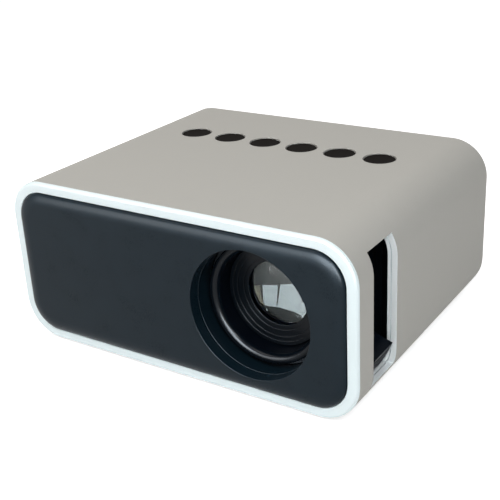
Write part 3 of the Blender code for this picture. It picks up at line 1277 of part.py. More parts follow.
def main_board(board_material, chip_material, capacitor_material):
    """The main board with the plug of the flat cable, its chip and its capacitor."""
    board = solid("main_board", block(
        (BOARD_LEFT, BOARD_FRONT, BOARD_HEIGHT), (BOARD_RIGHT, BOARD_REAR, BOARD_TOP)),
        board_material)
    half = RIBBON_THICKNESS / 2 + RIBBON_PLUG_WALL
    middle = RIBBON_DEPTH + RIBBON_THICKNESS / 2
    add(board, [block(
        (RIBBON_LEFT - RIBBON_PLUG_WALL, middle - half, BOARD_TOP - BITE),
        (RIBBON_LEFT + RIBBON_WIDTH + RIBBON_PLUG_WALL, middle + half,
         BOARD_TOP + RIBBON_PLUG_HEIGHT))])
    half = CHIP_SIZE / 2
    base = BOARD_TOP + SEAT
    chip = solid("video_chip", block(
        (CHIP_X - half, CHIP_DEPTH - half, base),
        (CHIP_X + half, CHIP_DEPTH + half, base + CHIP_THICKNESS)), chip_material)
    bevel = chip.modifiers.new("edge", "BEVEL")
    bevel.width = CHIP_EDGE
    bevel.segments = 1
    solid("board_capacitor", upright([
        (0, base), (CAPACITOR_RADIUS, base),
        (CAPACITOR_RADIUS, base + CAPACITOR_HEIGHT - CHIP_EDGE),
        (CAPACITOR_RADIUS - CHIP_EDGE, base + CAPACITOR_HEIGHT), (0, base + CAPACITOR_HEIGHT)],
        CAPACITOR_X, CAPACITOR_DEPTH, closed=False), capacitor_material)


def shell_socket(name, x, width, base, height, wall, tongue, material):
    """A sheet metal socket with a flat tongue in its mouth."""
    half = width / 2
    socket = solid(name, block(
        (x - half, SOCKET_FRONT, base), (x + half, SOCKET_REAR, base + height)), material)
    floor = SOCKET_REAR - SOCKET_CAVITY
    cut(socket, [block(
        (x - half + wall, floor, base + wall),
        (x + half - wall, SOCKET_REAR + OVERRUN, base + height - wall))])
    if tongue:
        middle = base + height / 2
        side = half - wall - tongue
        add(socket, [block(
            (x - side, floor - BITE, middle - tongue / 2),
            (x + side, SOCKET_REAR - tongue, middle + tongue / 2))])


def round_socket(name, x, width, height, bore_radius, pin_radius, material):
    """A moulded socket with a round bore, and a pin where it has one."""
    half = width / 2
    middle = SOCKET_BASE + height / 2
    socket = solid(name, block(
        (x - half, SOCKET_FRONT, SOCKET_BASE), (x + half, SOCKET_REAR, SOCKET_BASE + height)),
        material)
    floor = SOCKET_REAR - SOCKET_CAVITY
    cut(socket, [rod(x, middle, bore_radius, floor, SOCKET_REAR + OVERRUN)])
    if pin_radius:
        add(socket, [rod(
            x, middle, pin_radius, floor - BITE, SOCKET_REAR - OVERRUN, TINY_STEPS)])


def sockets(metal, plastic):
    """The five sockets at the rear edge of the main board."""
    shell_socket("hdmi_socket", HDMI_X, HDMI_WIDTH, SOCKET_BASE, HDMI_HEIGHT, SOCKET_WALL,
                 HDMI_TONGUE, metal)
    shell_socket("usb_socket", USB_X, USB_WIDTH, SOCKET_BASE, USB_HEIGHT, SOCKET_WALL,
                 USB_TONGUE, metal)
    shell_socket("card_slot", CARD_X, CARD_WIDTH, CARD_BASE, CARD_HEIGHT, CARD_WALL, 0, metal)
    round_socket("av_socket", AV_X, AV_WIDTH, AV_HEIGHT, AV_BORE_RADIUS, 0, plastic)
    round_socket("power_socket", POWER_X, POWER_WIDTH, POWER_HEIGHT, POWER_BORE_RADIUS,
                 POWER_PIN_RADIUS, plastic)


def lcd_ribbon(material):
    """The L-shaped flat cable from the picture panel down to the main board."""
    right = LENS_X - PLATE_HALF_WIDTH - SEAT
    base = BOARD_TOP + RIBBON_PLUG_HEIGHT + SEAT
    elbow = RIBBON_LEFT + RIBBON_WIDTH
    solid("lcd_ribbon", prism([
        (RIBBON_LEFT, base), (elbow, base), (elbow, RIBBON_TOP - RIBBON_WIDTH),
        (right, RIBBON_TOP - RIBBON_WIDTH), (right, RIBBON_TOP), (RIBBON_LEFT, RIBBON_TOP)],
        RIBBON_DEPTH, RIBBON_DEPTH + RIBBON_THICKNESS), material)


def speaker(frame_material, cone_material):
    """The small speaker that lies on the liner and faces down, and its paper cone."""
    base = LINER_INNER + SEAT
    rim_top = base + SPEAKER_RIM_HEIGHT
    magnet_base = base + SPEAKER_MAGNET_BASE
    inner = SPEAKER_RADIUS - SPEAKER_RIM
    shoulder = SPEAKER_MAGNET_RADIUS + SPEAKER_BASKET
    solid("speaker", upright([
        (0, magnet_base), (SPEAKER_MAGNET_RADIUS - SPEAKER_BASKET, magnet_base),
        (inner, rim_top), (inner, base), (SPEAKER_RADIUS, base), (SPEAKER_RADIUS, rim_top),
        (shoulder, magnet_base + SPEAKER_BASKET),
        (SPEAKER_MAGNET_RADIUS, magnet_base + SPEAKER_BASKET),
        (SPEAKER_MAGNET_RADIUS, base + SPEAKER_MAGNET_TOP), (0, base + SPEAKER_MAGNET_TOP)],
        SPEAKER_X, SPEAKER_DEPTH, MIDDLE_STEPS, closed=False), frame_material)
    rim = inner - SEAT
    flat = base + CONE_THICKNESS + CONE_RISE
    solid("speaker_cone", upright([
        (0, flat), (CONE_FLAT_RADIUS, flat), (rim, base), (rim, base + CONE_THICKNESS),
        (CONE_FLAT_RADIUS, flat + CONE_THICKNESS), (0, flat + CONE_THICKNESS)],
        SPEAKER_X, SPEAKER_DEPTH, MIDDLE_STEPS, closed=False), cone_material)


def clear_scene():
    for thing in list(bpy.data.objects):
        bpy.data.objects.remove(thing, do_unlink=True)


def build():
    """Make every piece of the projector."""
    grey_shell = finish("grey_shell", (0.47, 0.45, 0.41), 0.55)
    white_frame = finish("white_frame", (0.86, 0.88, 0.89), 0.35)
    black_panel = finish("black_panel", (0.021, 0.027, 0.034), 0.38)
    black_plastic = finish("black_plastic", (0.02, 0.02, 0.022), 0.5)
    dark_button = finish("dark_button", (0.03, 0.022, 0.02), 0.5)
    rubber = finish("rubber", (0.03, 0.03, 0.03), 0.85)
    steel = finish("steel", (0.56, 0.57, 0.58), 0.3, 1.0)
    brass = finish("brass", (0.78, 0.57, 0.28), 0.35, 1.0)
    aluminium = finish("aluminium", (0.77, 0.78, 0.79), 0.4, 1.0)
    clear_glass = finish("clear_glass", (0.85, 0.9, 0.9), 0.03, 0.0, 0.35)
    clear_acrylic = finish("clear_acrylic", (0.88, 0.9, 0.9), 0.15, 0.0, 0.5)
    panel_glass = finish("panel_glass", (0.06, 0.06, 0.08), 0.15)
    green_board = finish("green_board", (0.03, 0.16, 0.06), 0.45)
    chip_resin = finish("chip_resin", (0.03, 0.03, 0.035), 0.5)
    amber_film = finish("amber_film", (0.45, 0.2, 0.05), 0.35)
    paper = finish("paper", (0.05, 0.05, 0.05), 0.9)

    outer_sleeve(grey_shell)
    front_frame(white_frame)
    front_panel(black_panel)
    rear_cover(black_plastic)
    rear_screws(steel)
    chassis_tray(black_plastic)
    feet(rubber)
    tripod_insert(brass)
    top_buttons(dark_button)
    key_board(green_board, chip_resin, steel)
    lens_mount(black_plastic)
    focus_ring(black_plastic)
    ring_clip(steel)
    lens_barrel(black_plastic)
    barrel_glass(clear_glass)
    lens_retaining_ring(black_plastic)
    engine_trough(black_plastic)
    engine_lid(black_plastic)
    engine_plates(clear_acrylic, panel_glass)
    condenser_lens(clear_glass)
    led_board(aluminium)
    heat_sink(aluminium)
    fan_frame(black_plastic)
    fan_rotor(black_plastic)
    main_board(green_board, chip_resin, aluminium)
    sockets(steel, black_plastic)
    lcd_ribbon(amber_film)
    speaker(steel, paper)


clear_scene()
build()
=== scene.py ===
"""The looks of a palm-size video projector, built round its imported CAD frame.

Lengths are metres. X runs to the viewer's right when the lens faces them, Y runs from the
front to the rear and Z runs up. Depths are measured from the front face of the white frame,
and heights from the body's base.
"""

import json
import math

import bmesh
import bpy
from mathutils import Matrix, Vector


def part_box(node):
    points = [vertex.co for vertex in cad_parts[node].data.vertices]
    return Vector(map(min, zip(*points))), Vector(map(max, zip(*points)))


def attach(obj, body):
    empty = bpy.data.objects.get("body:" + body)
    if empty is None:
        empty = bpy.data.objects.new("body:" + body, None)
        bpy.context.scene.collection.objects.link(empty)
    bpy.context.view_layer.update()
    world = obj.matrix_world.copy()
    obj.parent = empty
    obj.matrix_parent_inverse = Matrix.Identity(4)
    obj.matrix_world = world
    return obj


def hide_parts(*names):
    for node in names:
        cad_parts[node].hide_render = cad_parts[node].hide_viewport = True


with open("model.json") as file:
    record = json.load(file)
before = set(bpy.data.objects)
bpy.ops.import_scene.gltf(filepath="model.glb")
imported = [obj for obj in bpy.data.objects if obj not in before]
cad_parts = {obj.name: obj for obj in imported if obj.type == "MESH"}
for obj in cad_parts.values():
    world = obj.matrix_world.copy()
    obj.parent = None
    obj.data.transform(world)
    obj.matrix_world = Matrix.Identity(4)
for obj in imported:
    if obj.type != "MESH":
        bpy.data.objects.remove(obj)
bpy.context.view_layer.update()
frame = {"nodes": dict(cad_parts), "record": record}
nodes = frame["nodes"]

MM = 0.001
PAST = 1.0 * MM  # how far a cut runs past a face, and a joined shape into its neighbour
SEAT = 0.3 * MM  # the gap to what a piece rests on

# Facets
CORNER_STEPS = 16
ROUND_STEPS = 96
HOLE_STEPS = 48
SMALL_STEPS = 24
FILLET_STEPS = 4
SHARP_ANGLE = math.radians(32)
MERGE_DISTANCE = 0.001 * MM
NEAR = 0.01 * MM

# Body and sleeve
BODY_WIDTH = 132.0 * MM
BODY_HEIGHT = 58.4 * MM
BODY_DEPTH = 104.8 * MM
CORNER = 13.4 * MM
WALL = 1.9 * MM
SLEEVE_FRONT = 1.4 * MM
SLEEVE_EDGE = 0.2 * MM
REAR_ROUNDING = 2.7 * MM
REAR_RIM = 5.0 * MM
REAR_RIM_DEPTH = 3.0 * MM
BUTTON_HOLE_RADIUS = 5.75 * MM
HOLE_LIP = 0.2 * MM
SLOT_LOW = (56.5 * MM, 10.0 * MM, 8.5 * MM)
SLOT_HIGH = (67.0 * MM, 26.1 * MM, 52.2 * MM)
INTAKE_FRONT = 62.0 * MM
INTAKE_PITCH = 4.6 * MM
INTAKE_COUNT = 7
INTAKE_WIDTH = 2.0 * MM
INTAKE_HEIGHT = 22.0 * MM
INTAKE_CUT = 3.0 * MM
SOUND_PITCH = 3.6 * MM
SOUND_COUNT = 5
SOUND_WIDTH = 1.6 * MM
SOUND_LENGTH = 17.0 * MM
SOUND_CUT = 5.0 * MM
FOOT_HOLE_RADIUS = 5.3 * MM
FOOT_RECESS = 0.6 * MM
KEY_BOSS_RADIUS = 2.5 * MM
KEY_BOSS_SUNK = 0.5 * MM
KEY_PILOT_RADIUS = 1.3 * MM
KEY_PILOT_DEPTH = 4.0 * MM

# Front frame
FRAME_BAND = 1.2 * MM
FRAME_ROUNDING = 1.0 * MM
FRAME_MARGIN = 3.45 * MM
FRAME_LIP = 0.4 * MM
FRAME_FACE = 2.0 * MM
OPENING_CORNER = 10.6 * MM
LINER_OUTER = 2.1 * MM
LINER_INNER = 3.2 * MM
LINER_DEPTH = 32.0 * MM
LEDGE_INNER = 5.25 * MM
LEDGE_CORNER = 8.8 * MM
LEDGE_FRONT = 2.6 * MM
LEDGE_REAR = 4.2 * MM

# Front panel
PANEL_INSET = 3.75 * MM
PANEL_CORNER = 10.3 * MM
PANEL_BACK = 2.3 * MM
PANEL_PROUD = 1.5 * MM
PANEL_ROLL = 4.6 * MM
PANEL_ROLL_STEPS = 12
LENS_HOLE_RADIUS = 21.3 * MM
LENS_HOLE_ROUNDING = 0.2 * MM
LENS_HOLE_DEPTH = 3.1 * MM
LENS_HOLE_BEAD = 0.15 * MM
COLLAR_INNER = 22.2 * MM
COLLAR_OUTER = 23.6 * MM
COLLAR_DEPTH = 10.7 * MM

# Lens
BARREL_FRONT = 7.4 * MM
BARREL_RADIUS = 18.4 * MM
BARREL_REAR = 33.0 * MM
BEZEL_RADIUS = 20.4 * MM
BEZEL_THICKNESS = 2.5 * MM
BEZEL_EDGE = 0.5 * MM
FUNNEL = 1.9 * MM
MOUTH_RADIUS = 17.5 * MM
GLASS_RADIUS = 14.0 * MM
GLASS_BEVEL = 0.2 * MM
GLASS_SEAT = 14.3 * MM
GLASS_SHOULDER = 17.9 * MM
STOP_RADIUS = 10.8 * MM
STOP_FRONT = 21.0 * MM
STOP_REAR = 23.0 * MM
REAR_BORE = 14.2 * MM
MIDDLE_GLASS_FRONT = 23.3 * MM
MIDDLE_GLASS_REAR = 25.5 * MM
MIDDLE_GLASS_HOLLOW = 0.8 * MM
REAR_GLASS_RADIUS = 13.9 * MM
REAR_GLASS_FRONT = 25.8 * MM
REAR_GLASS_REAR = 29.5 * MM
REAR_GLASS_HOLLOW = 5.6 * MM
REAR_GLASS_BULGE = 3.2 * MM
RETAINER_FRONT = 14.2 * MM
RETAINER_REAR = 17.6 * MM
RETAINER_RADIUS = 17.2 * MM
RETAINER_EDGE = 1.4 * MM
RETAINER_STEPS = (1.4 * MM, 2.1 * MM, 1.4 * MM)
RETAINER_STEP_HEIGHT = 0.5 * MM
RETAINER_FILLET = 0.12 * MM
FRONT_GLASS_CURVE = 28.0 * MM
FRONT_GLASS_EDGE = 18.1 * MM
FRONT_GLASS_REAR = 20.7 * MM

# Focus ring and paddle
RING_INNER = 20.6 * MM
RING_OUTER = 23.2 * MM
RING_FRONT = 12.6 * MM
RING_REAR = 24.5 * MM
RING_EDGE = 0.3 * MM
CLIP_WIDTH = 2.2 * MM
CLIP_EDGE = 0.15 * MM
CLIP_MOUTH = 6.0 * MM
CLIP_HOLE = 0.6 * MM
PADDLE_REACH = 37.4 * MM
PADDLE_TOP = math.radians(-19.6)
PADDLE_BOTTOM = math.radians(-32.3)
PADDLE_RIDGES = 5
PADDLE_RIDGE_HEIGHT = 0.45 * MM
PADDLE_RIDGE_SHARE = 0.6
PADDLE_EDGE = 0.1 * MM
PIN_ANGLES = tuple(math.radians(angle) for angle in (90, 210, 330))
PIN_RADIUS = 1.2 * MM
PIN_DEPTH = 21.0 * MM
PIN_TIP = 21.8 * MM
GROOVE_HALF_WIDTH = 1.35 * MM
GROOVE_BOTTOM = 22.0 * MM
FOCUS_TURN = math.radians(50)
FOCUS_TRAVEL = 4.0 * MM
GROOVE_STEPS = 16

# Buttons
BUTTON_COUNT = 6
BUTTON_RADIUS = 5.45 * MM
BUTTON_EDGE = 0.4 * MM
BUTTON_DISH = 0.12 * MM
BUTTON_FLANGE_RADIUS = 6.75 * MM
BUTTON_FLANGE = 0.9 * MM
BUTTON_STEM_RADIUS = 2.0 * MM

# Base
FEET = ("foot_front_left", "foot_front_right", "foot_rear_left", "foot_rear_right")
FOOT_RADIUS = 5.0 * MM
FOOT_ROUNDING = 0.4 * MM
FOOT_GROOVE = 0.25 * MM
FOOT_RINGS = (1.8 * MM, 3.2 * MM)
INSERT_BORE = 3.175 * MM
INSERT_FLANGE_RADIUS = 6.3 * MM
INSERT_BODY_RADIUS = 5.0 * MM
INSERT_FLANGE = 0.8 * MM
INSERT_ROUNDING = 0.3 * MM
INSERT_CUT = 3.0 * MM
THREAD_PITCH = 1.27 * MM
THREAD_RISE = 0.5 * MM
THREAD_SUNK = 0.1 * MM
THREAD_SHARE = 0.45
THREAD_STEPS = 24

# Rear cover
COVER_INSET = 5.3 * MM
COVER_FLANGE_INSET = 2.2 * MM
COVER_BACK = 100.3 * MM
COVER_SHOULDER = 101.5 * MM
COVER_INNER = 102.0 * MM
COVER_OUTER = 104.0 * MM
COVER_EDGE = 0.4 * MM
COVER_OVERLAP = 0.2 * MM
COVER_POCKET = 8.0 * MM
COVER_POCKET_CORNER = 3.0 * MM
VENT_COUNT = 9
VENT_WIDTH = 2.2 * MM
VENT_PITCH = 4.2 * MM
VENT_HEIGHT = 34.0 * MM
SOCKET_CLEARANCE = 0.15 * MM
PORT_CHAMFER = 0.4 * MM
SCREW_COUNT = 4
SCREW_RADIUS = 1.1 * MM
SCREW_HEAD_RADIUS = 2.3 * MM
SCREW_HEAD = 0.8 * MM
SCREW_EDGE = 0.3 * MM
SCREW_CHAMFER = 0.2 * MM
SCREW_CROSS = 0.6 * MM
SCREW_CROSS_REACH = 1.3 * MM
SCREW_CROSS_DEPTH = 0.6 * MM

# Sockets
SOCKET_CAVITY = 8.5 * MM
SHELL_WALL = 0.5 * MM
SHELL_EDGE = 0.35 * MM
SOCKET_EDGE = 0.5 * MM
SOCKET_SUNK = 0.3 * MM
TONGUE_EDGE = 0.3 * MM
HDMI_TONGUE = 1.6 * MM
USB_TONGUE = 1.9 * MM
AV_BORE = 1.8 * MM
POWER_BORE = 3.1 * MM
POWER_PIN = 0.9 * MM
PIN_EDGE = 0.4 * MM
PIN_SETBACK = 1.4 * MM
BORE_CHAMFER = 0.4 * MM
LINING_WALL = 0.25 * MM
LINING_SUNK = 0.05 * MM
LINING_SETBACK = 0.6 * MM
CONTACT_RISE = 0.08 * MM
CONTACT_SUNK = 0.1 * MM
CONTACT_SHARE = 0.6
CONTACT_SIDE = 1.0 * MM
CONTACT_SETBACK = 0.8 * MM
CARD_WALL = 0.4 * MM
CARD_SIDE = 2.0 * MM
CARD_RISE = 0.65 * MM
CARD_CONTACT = 3.0 * MM

# Camera, with its angles in degrees and its lens in millimetres
CAMERA_AZIMUTH = 33.072
CAMERA_ELEVATION = 22.638
CAMERA_ROLL = -2.692
CAMERA_LENS = 66.854
CAMERA_SHIFT = (-0.0269, -0.0332)
CAMERA_AIM = (0, 0.4 * BODY_WIDTH, 0.22 * BODY_WIDTH)
CAMERA_OFFSET = Vector((-0.011, -0.007, -2.53)) * BODY_WIDTH

# Light
ROOM_LIGHT = 0.33
FLOOR_LIFT = 0.65
FLOOR_GAP = 0.05 * MM
FLOOR_HALF = 6.0
DAYLIGHT = (0.92, 0.96, 1.0)
SKYLIGHT = (0.8, 0.93, 1.0)


def at(x, depth, height):
    """The point at x, a depth behind the front frame and a height above the body's base."""
    return Vector((x, FRONT_Y + depth, BASE_Z + height))


FRONT_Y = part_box("front_frame")[0].y
BASE_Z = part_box("outer_sleeve")[0].z
LENS_X = sum(corner.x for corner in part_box("front_lens")) / 2
LENS_HEIGHT = sum(corner.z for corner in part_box("front_lens")) / 2 - BASE_Z


class Value:
    """A shader value. Python's signs add the Math nodes."""

    def __init__(self, finish, socket):
        self.finish = finish
        self.socket = socket

    def math(self, operation, *values):
        return self.finish.node("Math", {"operation": operation}, dict(enumerate(values)))

    def __add__(self, other):
        return self.math("ADD", self, other)

    def __radd__(self, other):
        return self.math("ADD", other, self)

    def __sub__(self, other):
        return self.math("SUBTRACT", self, other)

    def __rsub__(self, other):
        return self.math("SUBTRACT", other, self)

    def __mul__(self, other):
        return self.math("MULTIPLY", self, other)

    def __rmul__(self, other):
        return self.math("MULTIPLY", other, self)


class Graph:
    """A node tree that nodes are added to."""

    def __init__(self, tree):
        self.tree = tree

    def node(self, kind, settings, values, output=0):
        """One node: its settings first, then the values or links of its sockets."""
        node = self.tree.nodes.new("ShaderNode" + kind)
        for name, setting in settings.items():
            setattr(node, name, setting)
        for name, value in values.items():
            if isinstance(value, Value):
                self.tree.links.new(value.socket, node.inputs[name])
            else:
                node.inputs[name].default_value = value
        return Value(self, node.outputs[output])

    def mixed(self, mask, first, second):
        """A colour that turns from first to second with a mask."""
        first, second = (
            part if isinstance(part, Value) else (*part, 1.0) for part in (first, second))
        return self.node("Mix", {"data_type": "RGBA"}, {0: mask, 6: first, 7: second}, 2)

    def seen_directly(self):
        """1 for what the camera, a reflection or a view through glass shows, and 0 for light."""
        camera, glossy, transmission = (
            self.node("LightPath", {}, {}, f"Is {way} Ray")
            for way in ("Camera", "Glossy", "Transmission"))
        return self.node(
            "Math", {"operation": "ADD", "use_clamp": True}, {0: camera + glossy, 1: transmission})


class Finish(Graph):
    """One surface finish: a Principled material, with what changes over the surface linked in."""

    def __init__(self, name, colour, roughness, **sockets):
        self.material = bpy.data.materials.new(name)
        self.material.use_nodes = True
        super().__init__(self.material.node_tree)
        self.shader = self.tree.nodes["Principled BSDF"]
        self.colour = (*colour, 1.0)
        self.shader.inputs["Base Color"].default_value = self.colour
        self.shader.inputs["Roughness"].default_value = roughness
        for socket, value in sockets.items():
            self.shader.inputs[socket.replace("_", " ")].default_value = value

    def place(self, centre=(0, 0, 0), stretch=(1, 1, 1), turn=(0, 0, 0)):
        """Where a point of the surface is, from a centre, turned and stretched."""
        coordinates = self.node("TexCoord", {}, {}, "Object")
        moved = self.node("VectorMath", {"operation": "SUBTRACT"}, {0: coordinates, 1: centre})
        return self.node("Mapping", {}, {"Vector": moved, "Rotation": turn, "Scale": stretch})

    def noise(self, grain, detail=2.0, place=None):
        """Cloudy noise from 0 to 1, whose clouds are about as wide as grain."""
        return self.node("TexNoise", {}, {
            "Vector": place or self.place(), "Scale": 1 / grain, "Detail": detail})

    def rings(self, axis, centre, scale, distortion=0.0, profile="SIN"):
        """Rings about an axis through centre."""
        return self.node("TexWave", {
            "wave_type": "RINGS", "rings_direction": axis, "wave_profile": profile}, {
            "Vector": self.place(centre), "Scale": scale, "Distortion": distortion})

    def between(self, value, low, high, start=0.0, end=1.0):
        """Map a value that runs from start to end onto low to high, and hold it there."""
        return self.node("MapRange", {"clamp": True}, {
            "Value": value, "From Min": start, "From Max": end, "To Min": low, "To Max": high})

    def edge(self, value, start, end):
        """0 below start and 1 above end, with a smooth step between."""
        return self.node("MapRange", {"interpolation_type": "SMOOTHSTEP"}, {
            "Value": value, "From Min": start, "From Max": end})

    def mottle(self, value, amount):
        """The finish's own colour, a little darker and lighter with a value."""
        low = tuple(part * (1 - amount) for part in self.colour[:3])
        high = tuple(min(1.0, part * (1 + amount)) for part in self.colour[:3])
        return self.mixed(value, low, high)

    def paint(self, socket, value):
        self.tree.links.new(value.socket, self.shader.inputs[socket])

    def relief(self, height, distance):
        """Raise the surface by distance where height is 1."""
        bump = self.node("Bump", {}, {"Height": height, "Distance": distance})
        self.paint("Normal", bump)


def moulded(name, colour, roughness, grain, relief, mottle, shine=0.5):
    """Plastic or rubber with faint clouds. Its grain and relief are millimetres."""
    finish = Finish(name, colour, roughness, Specular_IOR_Level=shine)
    fine = finish.noise(grain * MM)
    clouds = finish.noise(9 * MM, 3.0)
    finish.paint("Base Color", finish.mottle(clouds * 0.6 + fine * 0.4, mottle))
    finish.paint("Roughness", finish.between(
        clouds * 0.5 + fine * 0.5, roughness - 0.05, roughness + 0.05, 0.3, 0.7))
    finish.relief(fine, relief * MM)
    return finish.material


def metal(name, colour, roughness, stretch):
    """Drawn or brushed metal, with fine lines along one direction."""
    finish = Finish(name, colour, roughness, Metallic=1.0)
    lines = finish.noise(0.25 * MM, 3.0, finish.place(stretch=stretch))
    clouds = finish.noise(4 * MM)
    finish.paint("Base Color", finish.mottle(clouds, 0.06))
    finish.paint("Roughness", finish.between(lines, roughness - 0.08, roughness + 0.12, 0.3, 0.7))
    finish.relief(lines, 0.01 * MM)
    return finish.material


def turned_brass():
    """Brass with lathe rings round the tripod bore."""
    low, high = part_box("tripod_insert")
    finish = Finish("turned_brass", (0.78, 0.57, 0.28), 0.3, Metallic=1.0)
    rings = finish.rings("Z", ((low.x + high.x) / 2, (low.y + high.y) / 2, 0), 1200.0, 0.6)
    clouds = finish.noise(3 * MM)
    finish.paint("Base Color", finish.mottle(clouds, 0.08))
    finish.paint("Roughness", finish.between(rings, 0.22, 0.38))
    finish.relief(rings, 0.01 * MM)
    return finish.material


def optical_glass(name, shine):
    """Polished glass with a faint haze. Its coating lets a share of the usual shine through."""
    finish = Finish(name, (0.93, 0.96, 0.96), 0.01, Transmission_Weight=1.0, IOR=1.52,
                    Specular_Tint=(shine, shine, shine, 1.0))
    finish.paint("Roughness", finish.between(finish.noise(6 * MM), 0.0, 0.02, 0.4, 0.8))
    return finish.material


def ringed_acrylic():
    """A clear plate with the moulded rings of a Fresnel lens."""
    finish = Finish("ringed_acrylic", (0.9, 0.93, 0.93), 0.08, Transmission_Weight=1.0, IOR=1.49)
    rings = finish.rings("Y", (LENS_X, 0, BASE_Z + LENS_HEIGHT), 320.0, profile="SAW")
    finish.paint("Roughness", finish.between(rings, 0.04, 0.14))
    finish.relief(rings, 0.05 * MM)
    return finish.material


def picture_panel():
    """The dark liquid crystal panel: a fine dot grid inside a plain frame."""
    finish = Finish("picture_panel", (0.05, 0.05, 0.07), 0.15, Coat_Weight=0.5)
    grid = finish.node("TexBrick", {"offset": 0.0}, {
        "Vector": finish.place(turn=(math.pi / 2, 0, 0)), "Scale": 1500.0, "Mortar Size": 0.06,
        "Color1": (0.05, 0.05, 0.08, 1), "Color2": (0.06, 0.05, 0.07, 1),
        "Mortar": (0.015, 0.015, 0.015, 1)})
    finish.paint("Base Color", grid)
    finish.paint("Roughness", finish.between(finish.noise(5 * MM), 0.1, 0.22))
    return finish.material


def circuit_board():
    """Green resin over copper tracks, with small tinned pads."""
    finish = Finish("circuit_board", (0.03, 0.16, 0.06), 0.42)
    tracks = finish.node("TexBrick", {"offset": 0.37, "squash": 1.6}, {
        "Vector": finish.place(), "Scale": 260.0, "Mortar Size": 0.12, "Mortar Smooth": 0.2}, 1)
    pads = finish.node("TexVoronoi", {}, {"Vector": finish.place(), "Scale": 330.0}, 0)
    pad = 1 - finish.edge(pads, 0.12, 0.16)
    green = finish.mixed(tracks, (0.03, 0.16, 0.06), (0.05, 0.25, 0.09))
    finish.paint("Base Color", finish.mixed(pad, green, (0.6, 0.6, 0.58)))
    finish.paint("Metallic", pad * 0.9)
    finish.paint("Roughness", finish.between(finish.noise(2 * MM), 0.36, 0.5))
    finish.relief(tracks + pad, 0.03 * MM)
    return finish.material


def film_cable():
    """Amber film over fine copper lines."""
    finish = Finish("film_cable", (0.45, 0.2, 0.05), 0.35)
    lines = finish.node("TexWave", {"bands_direction": "DIAGONAL"}, {
        "Vector": finish.place(), "Scale": 700.0})
    finish.paint("Base Color", finish.mixed(lines, (0.36, 0.15, 0.03), (0.55, 0.27, 0.08)))
    finish.paint("Roughness", finish.between(lines, 0.28, 0.42))
    return finish.material


def pressed_paper():
    """The speaker's paper cone, with fibres and faint pressed rings."""
    low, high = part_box("speaker_cone")
    finish = Finish("pressed_paper", (0.05, 0.05, 0.05), 0.9)
    fibres = finish.noise(0.3 * MM, 4.0)
    rings = finish.rings("Z", ((low.x + high.x) / 2, (low.y + high.y) / 2, 0), 200.0)
    finish.paint("Base Color", finish.mottle(fibres, 0.3))
    finish.relief(fibres + rings, 0.05 * MM)
    return finish.material


def block(low, high):
    """A box between two corners, each given as x, depth and height."""
    shape = bmesh.new()
    bmesh.ops.create_cube(shape, size=1.0)
    low, high = at(*low), at(*high)
    bmesh.ops.scale(shape, vec=high - low, verts=shape.verts)
    bmesh.ops.translate(shape, vec=(low + high) / 2, verts=shape.verts)
    return shape


def round_edges(shape, chosen, radius, steps=FILLET_STEPS):
    """Round the edges for which chosen(edge) is true."""
    edges = [edge for edge in shape.edges if chosen(edge)]
    bmesh.ops.bevel(
        shape, geom=edges, offset=radius, offset_type="OFFSET", segments=steps, profile=0.5,
        affect="EDGES", clamp_overlap=True, material=-1)
    return shape


def runs_along(axis):
    """True for an edge that runs along X, Y or Z, given as 0, 1 or 2."""
    def test(edge):
        run = edge.verts[1].co - edge.verts[0].co
        return abs(run[axis]) > 0.999 * run.length
    return test


def lies_at(axis, place):
    """True for an edge whose ends both lie at a place on an axis."""
    return lambda edge: all(abs(vert.co[axis] - place) < NEAR for vert in edge.verts)


def body_block(inset, front, rear, corner):
    """A block with the body's rounded outline, moved in by inset."""
    shape = block(
        (-BODY_WIDTH / 2 + inset, front, inset),
        (BODY_WIDTH / 2 - inset, rear, BODY_HEIGHT - inset))
    return round_edges(shape, runs_along(1), corner, CORNER_STEPS)


def slot_block(low, high, axis, radius):
    """A block whose edges along one axis are rounded, to cut a slot with round ends."""
    return round_edges(block(low, high), runs_along(axis), radius, 2 * FILLET_STEPS)


def spun(points, centre, axis, steps, closed):
    """Turn a line of points about an axis through centre. A closed line makes a ring."""
    shape = bmesh.new()
    verts = [shape.verts.new(point) for point in points]
    ends = verts[1:] + verts[:1] if closed else verts[1:]
    edges = [shape.edges.new(pair) for pair in zip(verts, ends)]
    bmesh.ops.spin(
        shape, geom=verts + edges, cent=centre, axis=axis, angle=math.tau, steps=steps,
        use_merge=True)
    bmesh.ops.remove_doubles(shape, verts=shape.verts, dist=MERGE_DISTANCE)
    return shape


def turned(profile, steps=ROUND_STEPS, closed=True, x=None, height=None):
    """Turn radius and depth points about a line along Y, the lens axis unless one is given."""
    x = LENS_X if x is None else x
    height = LENS_HEIGHT if height is None else height
    points = [at(x + radius, depth, height) for radius, depth in profile]
    return spun(points, at(x, 0, height), (0, 1, 0), steps, closed)


def upright(profile, x, depth, steps=HOLE_STEPS, closed=False):
    """Turn radius and height points about the upright line at x and depth."""
    points = [at(x + radius, depth, height) for radius, height in profile]
    return spun(points, at(x, depth, 0), (0, 0, 1), steps, closed)


def fillet(centre, radius, start, end, steps=FILLET_STEPS):
    """Points on an arc about a centre, from one angle to another in degrees."""
    angles = [math.radians(start + (end - start) * step / steps) for step in range(steps + 1)]
    return [
        (centre[0] + radius * math.cos(angle), centre[1] + radius * math.sin(angle))
        for angle in angles]


def rod(radius, start, end):
    """The profile of a plain round bar between two places on its axis."""
    return [(0, start), (radius, start), (radius, end), (0, end)]


def washer(inner, outer, front, rear, edge):
    """The profile of a flat ring with rounded outer edges."""
    return [(inner, rear), (inner, front),
            *fillet((outer - edge, front + edge), edge, 270, 360),
            *fillet((outer - edge, rear - edge), edge, 0, 90)]


def row(centre, count, pitch):
    """The places of a row of things about its centre."""
    first = centre - (count - 1) * pitch / 2
    return [first + index * pitch for index in range(count)]


